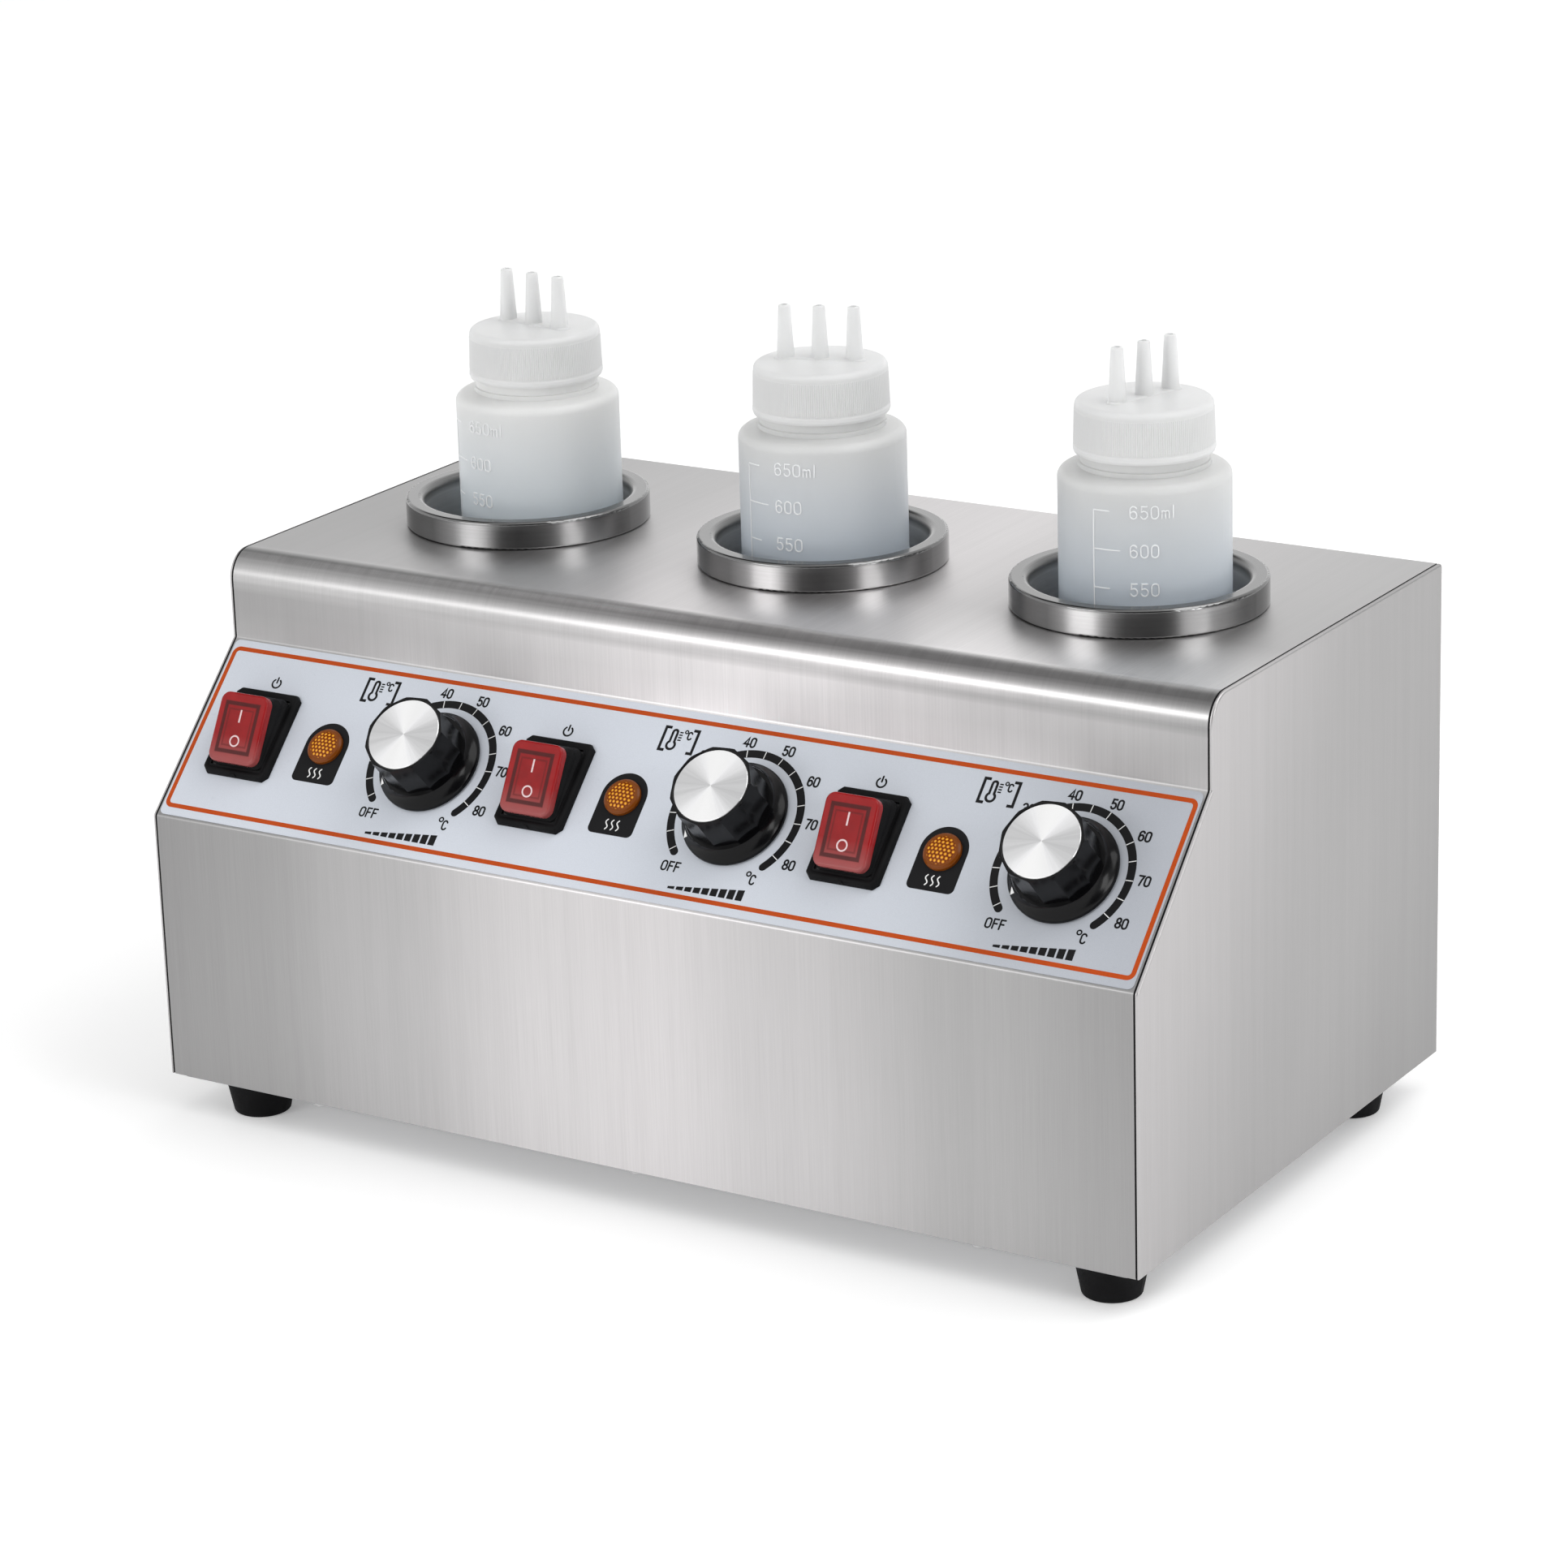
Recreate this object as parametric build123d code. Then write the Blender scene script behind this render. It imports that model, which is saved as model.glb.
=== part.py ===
from build123d import *
import os
from math import sin, cos, tan, radians, degrees, sqrt, pi

# Three-well bottle warmer for toppings: a folded stainless case with a sloped
# control panel, three heated wells in the top, and a squeeze bottle in each well.
# Millimetres, +Z up, front face towards -Y, +X along the length.
# The geometry is laid out with y = 0 on the front face and z = 0 on the lower edge
# of the case, and is moved at the end so that the origin is the centre of the
# footprint, on the surface that the feet stand on.

os.makedirs("parts", exist_ok=True)

# ---------------------------------------------------------------- driving sizes
LENGTH = 440.0          # case, side to side
DEPTH = 252.6           # case, front to back
CASE_H = 202.5          # case, without the feet
FRONT_H = 109.6         # height of the lower front panel
SLOPE = 58.0            # rise and run of the 45 degree control panel
ROLL_R = 11.3           # rolled edge between the upper front band and the top
SHEET = 1.0             # wrapped sheet
SIDE_T = 1.2            # side panels
SEAM = 0.8              # gap between the wrapped sheet and each side panel
FOOT_H = 16.0
GLAND_OUT = 15.0        # how far the cable gland stands out at the back
Y0 = (DEPTH + GLAND_OUT + 0.03) / 2.0

WELL_PITCH = 139.9
WELL_Y = 154.0
WELL_RI = 41.75
WELL_T = 1.0
RIM_RO = 49.45
RIM_H = 11.4
WELL_FLOOR = 45.0       # inner floor of the well above the case's lower edge

DIAL_X = (-104.0, 35.5, 175.0)
DIAL_V = 41.7           # up the slope from the lower crease
LAMP_DX = -50.05
LAMP_V = 40.9
SWITCH_DX = -85.5
SWITCH_V = 40.7

BOTTLE_R = 32.9
BOTTLE_WALL = 1.1
BOTTLE_Z = WELL_FLOOR + 0.05
SHOULDER_Z = 255.6
NECK_TOP_Z = 280.1
CAP_Z0 = 262.6
CAP_TOP_Z = 282.2
NOZZLE_TIP_Z = 304.0
NOZZLE_PITCH = 13.8
# each bottle leans on nothing: it stands a little off its well's axis
BOTTLE_OFF = ((4.84, 2.98), (0.85, 0.52), (2.04, 1.26))
NOZZLE_ANGLE = (-8.1, 17.0, 71.9)

KNOB_H = 24.0
KNOB_SIDES = 11
ROCKER_TILT = 16.5
PIVOT_W = 2.1           # rocker pivot above the panel

FEET_X = (-189.0, 198.5)
FEET_Y = (18.5, 218.5)

S2 = sqrt(0.5)
WELL_X = (-WELL_PITCH, 0.0, WELL_PITCH)
PARTS = {}


# ---------------------------------------------------------------- small helpers
def box(x0, x1, y0, y1, z0, z1):
    return Pos((x0 + x1) / 2, (y0 + y1) / 2, (z0 + z1) / 2) * Box(x1 - x0, y1 - y0, z1 - z0)


def cyl(r, x, y, z0, z1):
    return Pos(x, y, (z0 + z1) / 2) * Cylinder(r, z1 - z0)


def tube(ro, ri, x, y, z0, z1):
    return cyl(ro, x, y, z0, z1) - cyl(ri, x, y, z0 - 1, z1 + 1)


def fillet_points(sk, items):
    for p, r in items:
        if r <= 0.03:
            continue
        v = sk.vertices().sort_by_distance((p[0], p[1], 0))[0]
        sk = fillet(v, r)
    return sk


def lathe(points, rounds=()):
    """Solid of revolution about Z from (radius, height) points."""
    sk = make_face(Polyline(*points, close=True))
    sk = fillet_points(sk, rounds)
    return revolve(Plane.XZ * sk, Axis.Z, 360)


def case_profile(d):
    """Side outline of the case, moved inwards by d."""
    k = d * sqrt(2)
    pts = [(d, d), (d, FRONT_H + d - k), (SLOPE + d, FRONT_H + SLOPE + d - k),
           (SLOPE + d, CASE_H - d), (DEPTH - d, CASE_H - d), (DEPTH - d, d)]
    sk = make_face(Polyline(*pts, close=True))
    return fillet_points(sk, [(pts[1], 2.2 - d), (pts[2], 1.4 + d), (pts[3], ROLL_R - d), (pts[4], 1.6 - d)])


def prism(sk, x0, x1):
    return extrude(Plane.YZ.offset(x0) * sk, x1 - x0)


def on_panel(xc, v):
    """Frame on the outer face of the sloped panel: x along, y up the slope, z out."""
    return Plane(origin=(xc, v * S2, FRONT_H + v * S2), x_dir=(1, 0, 0), z_dir=(0, -S2, S2)).location


def bolt_z(x, y, z_seat, shank_r, length, head_r, head_h, up=True):
    """Pan-head screw whose head seats at z_seat from below (up) or from above."""
    s = 1 if up else -1
    head = Pos(x, y, z_seat - s * head_h / 2) * Cylinder(head_r, head_h)
    rim = head.faces().sort_by(Axis.Z)[0 if up else -1].edges()
    head = fillet(rim, head_h * 0.45)
    shank = Pos(x, y, z_seat + s * length / 2) * Cylinder(shank_r, length)
    slot = Pos(x, y, z_seat - s * head_h) * (Box(head_r * 1.15, 0.9, 1.6) + Box(0.9, head_r * 1.15, 1.6))
    return head + shank - slot


def hexagon(af, h, bore, x, y, z0):
    n = extrude(Pos(x, y, z0) * RegularPolygon(af / 2, 6, major_radius=False), h)
    return n - cyl(bore, x, y, z0 - 1, z0 + h + 1)


def solids_of(shape):
    return list(shape.solids())


def group(*shapes):
    out = []
    for s in shapes:
        out += solids_of(s)
    return Compound(out)


def keep(name, shape):
    PARTS[name] = shape


def stations():
    return range(3)


# ---------------------------------------------------------------- wrapped front and top
BASE_SCREWS = [(-150, 7.5), (0, 7.5), (150, 7.5), (-150, DEPTH - 7.5), (0, DEPTH - 7.5), (150, DEPTH - 7.5),
               (-212, 90), (-212, 170), (212, 90), (212, 170)]
HALF = LENGTH / 2
SHEET_X = HALF - SIDE_T - SEAM

shell = prism(case_profile(0), -SHEET_X, SHEET_X) - prism(case_profile(SHEET), -SHEET_X - 1, SHEET_X + 1)
shell -= box(-HALF, HALF, 14, DEPTH + 5, -5, SHEET + 0.01)
shell -= box(-HALF, HALF, DEPTH - SHEET - 0.01, DEPTH + 5, -5, CASE_H - 12)
for x in WELL_X:
    shell -= cyl(44.0, x, WELL_Y, CASE_H - 5, CASE_H + 5)
for i in stations():
    shell -= on_panel(DIAL_X[i], DIAL_V) * Cylinder(5.4, 6)
    shell -= on_panel(DIAL_X[i] + LAMP_DX, LAMP_V) * Cylinder(5.1, 6)
    shell -= on_panel(DIAL_X[i] + SWITCH_DX, SWITCH_V) * Box(22.0, 28.0, 6)
for x, y in BASE_SCREWS[:3]:
    shell -= cyl(2.1, x, y, -1, 3)
for x in (-150, 0, 150):
    shell -= Pos(x, DEPTH, CASE_H - 6.5) * Rot(90, 0, 0) * Cylinder(2.1, 8)
keep("front_top_shell", shell)

# ---------------------------------------------------------------- side panels
plate = prism(case_profile(0), HALF - SIDE_T, HALF)
plate = fillet(plate.faces().sort_by(Axis.X)[-1].outer_wire().edges(), 1.0)
flange = prism(case_profile(1.1), HALF - 14, HALF - SIDE_T + 0.1) - prism(case_profile(2.1), HALF - 15, HALF)
right = plate + flange
for x, y in BASE_SCREWS[8:]:
    right -= cyl(2.1, x, y, -1, 4)
REAR_Z = (22.0, 100.0, 172.0)
for z in REAR_Z:
    right -= Pos(HALF - 8, DEPTH, z) * Rot(90, 0, 0) * Cylinder(2.1, 8)
keep("right_side_panel", right)
keep("left_side_panel", mirror(right, about=Plane.YZ))

# ---------------------------------------------------------------- rear panel
GLAND_X, GLAND_Z = 168.0, 34.0
rear = box(-SHEET_X, SHEET_X, DEPTH - SHEET, DEPTH, 0, CASE_H - 12.5)
rear += box(-SHEET_X, SHEET_X, DEPTH - 14, DEPTH, 0, SHEET)
rear += box(-202, 202, DEPTH - 2.1, DEPTH - SHEET - 0.05, CASE_H - 26, CASE_H - 3.5)
rear += box(-202, 202, DEPTH - 1.5, DEPTH - 0.5, CASE_H - 26, CASE_H - 12.5)
rear = fillet(rear.edges().filter_by(Axis.X).group_by(Axis.Z)[0].sort_by(Axis.Y)[-1], 0.8)
for x in WELL_X:
    for k in range(7):
        rear -= Pos(x + (k - 3) * 9.0, DEPTH, 118) * Rot(90, 0, 0) * extrude(Rot(0, 0, 90) * SlotOverall(46, 3.4), 6, both=True)
for s in (-1, 1):
    for z in REAR_Z:
        rear -= Pos(s * (HALF - 8), DEPTH, z) * Rot(90, 0, 0) * Cylinder(2.1, 8)
for x in (-150, 0, 150):
    rear -= Pos(x, DEPTH, CASE_H - 6.5) * Rot(90, 0, 0) * Cylinder(1.9, 8)
for x, y in BASE_SCREWS[3:6]:
    rear -= cyl(2.1, x, y, -1, 3)
rear -= Pos(GLAND_X, DEPTH, GLAND_Z) * Rot(90, 0, 0) * Cylinder(8.1, 8)
keep("rear_panel", rear)

# ---------------------------------------------------------------- base plate
base = box(-216.3, 216.3, 1.6, DEPTH - 1.2, -SHEET, 0)
base = fillet(base.edges().filter_by(Axis.Z), 4)
for x in WELL_X:
    for k in range(7):
        base -= Pos(x + (k - 3) * 9.0, WELL_Y, 0) * extrude(Rot(0, 0, 90) * SlotOverall(44, 3.4), 4, both=True)
for x, y in BASE_SCREWS:
    base -= cyl(2.1, x, y, -3, 3)
for x in FEET_X:
    for y in FEET_Y:
        base -= cyl(2.25, x, y, -3, 3)
base -= cyl(2.6, GLAND_X - 46, 222, -3, 3)
keep("base_plate", base)

# ---------------------------------------------------------------- feet and fasteners
feet, foot_fix = [], []
for x in FEET_X:
    for y in FEET_Y:
        f = lathe([(2.35, -SHEET - 0.02), (14.3, -SHEET - 0.02), (11.3, -FOOT_H), (5.2, -FOOT_H), (5.2, -FOOT_H + 8), (2.35, -FOOT_H + 8)],
                  [((14.3, -SHEET - 0.02), 0.6), ((11.3, -FOOT_H), 1.2)])
        feet.append(Pos(x, y, 0) * f)
        foot_fix.append(bolt_z(x, y, -FOOT_H + 7.95, 2.1, 14.5, 4.3, 2.6))
        foot_fix.append(hexagon(8.0, 3.2, 2.14, x, y, 0.05))
keep("feet", group(*feet))
keep("foot_fasteners", group(*foot_fix))
keep("base_screws", group(*[bolt_z(x, y, -SHEET - 0.03, 1.95, 9.0, 3.8, 2.2) for x, y in BASE_SCREWS]))


def rear_screw(x, z):
    b = bolt_z(0, 0, 0, 1.8, 8.0, 3.6, 2.2)
    return Pos(x, DEPTH + 0.03, z) * Rot(90, 0, 0) * b


keep("rear_screws", group(*([rear_screw(s * (HALF - 8), z) for s in (-1, 1) for z in REAR_Z]
                            + [rear_screw(x, CASE_H - 6.5) for x in (-150, 0, 150)])))

# ---------------------------------------------------------------- cable gland
g = lathe([(4.0, -14), (7.95, -14), (7.95, 0), (11.5, 0.02), (11.5, 3.0), (8.6, 4.2), (7.4, GLAND_OUT), (4.0, GLAND_OUT)],
          [((11.5, 3.0), 0.8), ((7.4, GLAND_OUT), 1.0)])
for k in range(5):
    ring = Pos(0, 0, 6.0 + 1.75 * k) * (Cylinder(12, 0.7) - Cylinder(7.05 - 0.06 * k, 0.8))
    g -= ring
keep("cable_gland", Pos(GLAND_X, DEPTH + 0.03, GLAND_Z) * Rot(-90, 0, 0) * g)
gn = hexagon(22.0, 5.0, 8.05, 0, 0, 0)
keep("gland_nut", Pos(GLAND_X, DEPTH - SHEET - 5.1, GLAND_Z) * Rot(-90, 0, 0) * gn)

# ---------------------------------------------------------------- control overlay
OVER_T = 0.3
ov = Pos(0, 0, 0) * extrude(Rectangle(2 * (SHEET_X - 0.7), 79.8), OVER_T)
ov = fillet(ov.edges().filter_by(Axis.Z), 2.3)
ov = on_panel(0, 41.1) * ov
for i in stations():
    ov -= on_panel(DIAL_X[i], DIAL_V) * Cylinder(5.6, 6)
    ov -= on_panel(DIAL_X[i] + LAMP_DX, LAMP_V) * Cylinder(5.25, 6)
    ov -= on_panel(DIAL_X[i] + SWITCH_DX, SWITCH_V) * Box(22.3, 28.3, 6)
keep("control_overlay", ov)

# ---------------------------------------------------------------- wells and what heats them
rings, sleeves = [], []
for i in stations():
    n = i + 1
    x = WELL_X[i]
    ro = WELL_RI + WELL_T
    zt = CASE_H + RIM_H
    well = lathe([(0, WELL_FLOOR - WELL_T), (ro, WELL_FLOOR - WELL_T), (ro, CASE_H + 0.03), (RIM_RO, CASE_H + 0.03),
                  (RIM_RO, zt), (WELL_RI, zt), (WELL_RI, WELL_FLOOR), (0, WELL_FLOOR)],
                 [((ro, WELL_FLOOR - WELL_T), 7.0), ((WELL_RI, WELL_FLOOR), 6.0), ((RIM_RO, CASE_H + 0.03), 1.0),
                  ((RIM_RO, zt), 1.3), ((WELL_RI, zt), 2.8)])
    keep(f"well_{n}", Pos(x, WELL_Y, 0) * well)

    slit = box(-8.6, 8.6, -60, 0, 0, 200)
    band = tube(45.3, ro + 0.06, 0, 0, 62, 132) - slit
    band += box(-11, 11, -49.0, -43.8, 63, 71)
    band += Pos(-6, -49, 67) * Rot(90, 0, 0) * Cylinder(1.6, 6) + Pos(6, -49, 67) * Rot(90, 0, 0) * Cylinder(1.6, 6)
    keep(f"heater_band_{n}", Pos(x, WELL_Y, 0) * band)
    sleeve = tube(53.5, 45.45, 0, 0, 57, 138) - box(-13, 13, -70, 0, 0, 200)
    sleeves.append(Pos(x, WELL_Y, 0) * sleeve)
    rg = tube(51.0, ro + 0.08, 0, 0, CASE_H - SHEET - 4.0, CASE_H - SHEET - 0.05)
    for k in range(3):
        a = radians(90 + 120 * k)
        rg -= Pos(47.2 * cos(a), 47.2 * sin(a), CASE_H) * Cylinder(1.5, 30)
    rings.append(Pos(x, WELL_Y, 0) * rg)
keep("insulation_sleeves", group(*sleeves))
keep("well_retaining_rings", group(*rings))

# ---------------------------------------------------------------- thermostats, spindles, knobs
nuts = []
BULB_Y = WELL_Y - 46.2
for i in stations():
    n = i + 1
    at = on_panel(DIAL_X[i], DIAL_V)
    body = Pos(0, 0, -1.1 - 13) * Box(36, 40, 26)
    body = fillet(body.edges().filter_by(Axis.Z), 4)
    body += Pos(0, 0, -27.6) * Cylinder(14, 3.4)
    for k in (-10, 0, 10):
        body += Pos(k, -13, -30) * Box(6.3, 0.8, 10)
    body += Pos(0, 0, 1.3) * Cylinder(4.9, 5.2)
    body -= Pos(0, 0, -4) * Cylinder(3.06, 26)
    body = at * body
    wx = WELL_X[i]
    # capillary from the back of the thermostat to the bulb on the well's wall
    p0 = (at * Pos(9, 8, -26)).position
    p1 = (at * Pos(9, 8, -36)).position
    pts = [p0, p1, Vector(wx + 20, 80, 118), Vector(wx + 10, 96, 150), Vector(wx, BULB_Y, 152), Vector(wx, BULB_Y, 138)]
    path = FilletPolyline(*pts, radius=4.0)
    capil = sweep(Plane(origin=pts[0], z_dir=(pts[1] - pts[0])) * Circle(0.9), path=path)
    bulb = cyl(3.0, wx, BULB_Y, 74, 140)
    bulb = fillet(bulb.edges(), 1.4)
    keep(f"thermostat_{n}", body + capil + bulb)

    sp = Pos(0, 0, 3.4) * Cylinder(3.0, 27.0)
    sp -= Pos(0, 4.6, 12.4) * Box(8, 4.2, 9.2)
    keep(f"spindle_{n}", at * sp)
    nuts.append(at * hexagon(14.0, 2.3, 4.95, 0, 0, OVER_T + 0.05))

    z0 = 0.9
    prof = [(0, 19.0), (0, 23.25), (15.1, 23.25), (15.1, KNOB_H), (16.4, KNOB_H), (17.7, 6.4), (18.9, 4.7), (21.5, 3.7),
            (21.5, z0), (12.6, z0), (12.6, 6.0), (3.05, 6.0), (3.05, 19.0)]
    knob = lathe(prof, [((16.4, KNOB_H), 0.7), ((17.7, 6.4), 0.9), ((18.9, 4.7), 1.2), ((21.5, 3.7), 1.4)])
    step = 360.0 / KNOB_SIDES
    for k in range(KNOB_SIDES):
        flat = Rot(0, 0, k * step - 4.5) * Pos(16.35, 0, 14.2) * Rot(0, -4.0, 0) * Pos(5, 0, 0) * Box(10, 13.5, 15.0)
        knob -= flat
    knob += Pos(0, 4.35, 13.0) * Box(2.6, 3.6, 8.6) - Pos(0, 0, 13) * Cylinder(2.60, 20)
    keep(f"knob_{n}", at * knob)
    disc = Pos(0, 0, 23.62) * Cylinder(15.04, 0.66)
    disc = chamfer(disc.faces().sort_by(Axis.Z)[-1].edges(), 0.25)
    keep(f"knob_cap_{n}", at * disc)
keep("spindle_nuts", group(*nuts))

# ---------------------------------------------------------------- rocker switches
for i in stations():
    n = i + 1
    at = on_panel(DIAL_X[i] + SWITCH_DX, SWITCH_V)
    h = Pos(0, 0, (OVER_T + 0.05 + 1.9) / 2) * Box(25, 31, 1.55)
    h += Pos(0, 0, -9.6) * Box(21.4, 27.4, 23)
    h -= Pos(0, 0, -3.2) * Box(19.0, 25.4, 14.0)
    for s in (-1, 1):
        h += Pos(s * 10.25, 0, 1.6) * Box(1.3, 7.0, 5.4)
    h -= Pos(0, 0, PIVOT_W) * Rot(0, 90, 0) * Cylinder(1.55, 22.4)
    for a in (-5.2, 5.2):
        for b in (-9, 0, 9):
            h += Pos(a, b, -25) * Box(0.8, 4.8, 9)
    keep(f"switch_housing_{n}", at * h)

    # rubber boot frame, sloped outer walls, cut corners
    base_sk = chamfer((Rectangle(31.2, 38.8)).vertices(), 2.6)
    top_sk = chamfer((Rectangle(29.8, 37.4)).vertices(), 2.6)
    boot = loft([Pos(0, 0, OVER_T + 0.03) * base_sk, Pos(0, 0, 3.0) * top_sk])
    boot -= Pos(0, 0, 1.0) * Box(25.1, 31.1, 1.94)
    boot -= Box(24.2, 30.0, 12)
    keep(f"switch_boot_{n}", at * boot)

    # rocker: built upright about its pivot, then tilted to OFF (lower end pressed)
    core = Pos(0, 0, 2.6) * Box(18.5, 21.0, 7.2)
    core = fillet(core.edges().filter_by(Axis.X).group_by(Axis.Z)[0], 2.4)
    core += Rot(0, 90, 0) * Cylinder(1.5, 21.6)
    cap = extrude(Pos(0, 0, 6.25) * fillet(Rectangle(22.8, 28.2).vertices(), 3.8), 3.5)
    cap = fillet(cap.faces().sort_by(Axis.Z)[-1].outer_wire().edges(), 1.1)
    tilt = at * Pos(0, 0, PIVOT_W) * Rot(ROCKER_TILT, 0, 0)
    keep(f"rocker_core_{n}", tilt * core)
    keep(f"rocker_cap_{n}", tilt * cap)

# ---------------------------------------------------------------- pilot lamps
for i in stations():
    n = i + 1
    at = on_panel(DIAL_X[i] + LAMP_DX, LAMP_V)
    lens = lathe([(0, 0.95), (5.06, 0.95), (5.06, OVER_T + 0.03), (7.55, OVER_T + 0.03), (7.55, 1.5), (6.7, 2.3), (5.9, 2.3), (3.2, 2.95), (0, 3.15)],
                 [((7.55, 1.5), 0.5), ((6.7, 2.3), 0.3)])
    keep(f"lamp_lens_{n}", at * lens)
    lb = Pos(0, 0, -6.5) * Cylinder(4.98, 14.6) + Pos(0, 0, -10.0) * Cylinder(6.6, 13.0)
    lb += Pos(-2.6, 0, -19) * Box(0.8, 4, 7) + Pos(2.6, 0, -19) * Box(0.8, 4, 7)
    lb += Pos(0, 0, -2.3) * Cylinder(7.6, 2.4)
    keep(f"lamp_body_{n}", at * lb)

# ---------------------------------------------------------------- bottles and nozzle caps
for i in stations():
    n = i + 1
    cx, cy = WELL_X[i] + BOTTLE_OFF[i][0], WELL_Y + BOTTLE_OFF[i][1]
    ri = BOTTLE_R - BOTTLE_WALL
    b = lathe([(0, BOTTLE_Z), (BOTTLE_R, BOTTLE_Z), (BOTTLE_R, SHOULDER_Z), (25.2, 257.2), (25.2, 259.0), (24.5, 259.2), (24.5, 262.2),
               (23.3, 262.4), (23.3, 267.6), (24.0, 268.2), (24.0, 269.0), (23.3, 269.6), (23.3, 273.0), (24.0, 273.6), (24.0, 274.4),
               (23.3, 275.0), (23.3, NECK_TOP_Z), (21.7, NECK_TOP_Z), (21.7, 256.2), (ri, 254.0), (ri, BOTTLE_Z + 1.4), (0, BOTTLE_Z + 1.4)],
              [((BOTTLE_R, BOTTLE_Z), 4.5), ((BOTTLE_R, SHOULDER_Z), 3.6), ((ri, 254.0), 2.6), ((ri, BOTTLE_Z + 1.4), 3.4)])
    keep(f"bottle_{n}", Pos(cx, cy, 0) * b)

    c = lathe([(24.4, CAP_Z0), (26.5, CAP_Z0), (26.9, CAP_Z0 + 1.0), (26.9, CAP_Z0 + 2.2), (26.65, CAP_Z0 + 2.8), (26.15, CAP_TOP_Z),
               (22.5, CAP_TOP_Z + 0.25), (12.0, CAP_TOP_Z + 0.9), (0, CAP_TOP_Z + 1.0), (0, NECK_TOP_Z + 0.1), (24.4, NECK_TOP_Z + 0.1)],
              [((26.15, CAP_TOP_Z), 2.4)])
    web = extrude(SlotOverall(2 * NOZZLE_PITCH + 9, 7.4), 1.6)
    web = fillet(web.faces().sort_by(Axis.Z)[-1].outer_wire().edges(), 1.2)
    turn = Rot(0, 0, NOZZLE_ANGLE[i])
    c += turn * Pos(0, 0, CAP_TOP_Z - 0.1) * web
    h = NOZZLE_TIP_Z - CAP_TOP_Z
    for k in (-1, 0, 1):
        tip = Pos(0, 0, h / 2) * Cone(3.55, 2.35, h)
        tip = fillet(tip.faces().sort_by(Axis.Z)[-1].edges(), 0.7)
        c += turn * Pos(k * NOZZLE_PITCH, 0, CAP_TOP_Z) * tip
    for k in (-1, 0, 1):
        bore = Pos(0, 0, h / 2 - 2) * Cylinder(1.2, h + 10)
        c -= turn * Pos(k * NOZZLE_PITCH, 0, CAP_TOP_Z) * bore
    keep(f"bottle_cap_{n}", Pos(cx, cy, 0) * c)

# ---------------------------------------------------------------- terminals
tb = box(-34, 34, 214, 232, 0.05, 17)
tb = fillet(tb.edges().filter_by(Axis.Z), 1.5)
for k in range(6):
    tb -= cyl(3.2, -27.5 + 11 * k, 223, 9, 20)
    tb -= Pos(-27.5 + 11 * k, 223, 5) * Rot(90, 0, 0) * Cylinder(2.4, 30)
TBX = 70.0
keep("terminal_block", Pos(TBX, 0, 0) * tb)
es = cyl(2.5, GLAND_X - 46, 222, -2.9, 16) + hexagon(8.0, 1.8, 1.0, GLAND_X - 46, 222, -SHEET - 1.83)
es2 = hexagon(8.0, 4.0, 2.54, GLAND_X - 46, 222, 0.05)
es3 = hexagon(8.0, 4.0, 2.54, GLAND_X - 46, 222, 6.0)
keep("earth_stud", group(es, es2, es3))

# ---------------------------------------------------------------- wiring, clipped along the floor of the case
wires = []


def wire(pts, r=1.1, bend=7.0):
    pts = [Vector(*p) for p in pts]
    path = FilletPolyline(*pts, radius=bend)
    w = sweep(Plane(origin=pts[0], z_dir=(pts[1] - pts[0])) * Circle(r), path=path)
    wires.append(w)


for i in stations():
    sw = on_panel(DIAL_X[i] + SWITCH_DX, SWITCH_V)
    p = (sw * Pos(5.2, 0, -29.6)).position
    q = (sw * Pos(5.2, 0, -42)).position
    ypos = 70.0 + 5 * i
    tx = TBX - 27.5 + 11 * i
    wire([(p.X, p.Y, p.Z), (q.X, q.Y, q.Z), (q.X, ypos, 8 + 4 * i), (tx, ypos + 26, 5.0), (tx, 216.0, 5.0)])
    hx = WELL_X[i] + 6
    tx2 = TBX - 27.5 + 11 * (i + 3)
    wire([(hx, WELL_Y - 52.3, 67), (hx, WELL_Y - 62, 67), (hx, WELL_Y - 64, 30), (hx + (tx2 - hx) * 0.5, WELL_Y - 56, 12.0 + 4 * i), (tx2, WELL_Y - 20, 5.0), (tx2, 216.0, 5.0)])
keep("wiring_harness", group(*wires))

# ---------------------------------------------------------------- write
for name, shape in PARTS.items():
    moved = Pos(0, -Y0, FOOT_H) * shape
    export_step(moved, f"parts/{name}.step")
print(len(PARTS), "parts written")
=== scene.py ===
import bpy, bmesh, math
from mathutils import Matrix, Vector


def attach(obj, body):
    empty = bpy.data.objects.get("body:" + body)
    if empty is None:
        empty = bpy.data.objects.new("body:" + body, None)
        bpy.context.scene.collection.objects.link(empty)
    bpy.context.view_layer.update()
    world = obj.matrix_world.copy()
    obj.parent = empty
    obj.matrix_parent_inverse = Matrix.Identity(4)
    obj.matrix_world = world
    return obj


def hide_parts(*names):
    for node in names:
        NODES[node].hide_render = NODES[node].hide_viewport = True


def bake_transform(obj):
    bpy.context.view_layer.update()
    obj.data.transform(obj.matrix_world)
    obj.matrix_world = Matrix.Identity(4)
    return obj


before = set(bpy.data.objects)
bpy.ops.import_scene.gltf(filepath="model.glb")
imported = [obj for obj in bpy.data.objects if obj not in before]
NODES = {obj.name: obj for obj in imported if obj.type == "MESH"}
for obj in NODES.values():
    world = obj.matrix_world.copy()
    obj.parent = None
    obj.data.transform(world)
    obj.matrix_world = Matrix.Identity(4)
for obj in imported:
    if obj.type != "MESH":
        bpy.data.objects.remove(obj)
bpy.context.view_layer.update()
SCENE = bpy.context.scene

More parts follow.
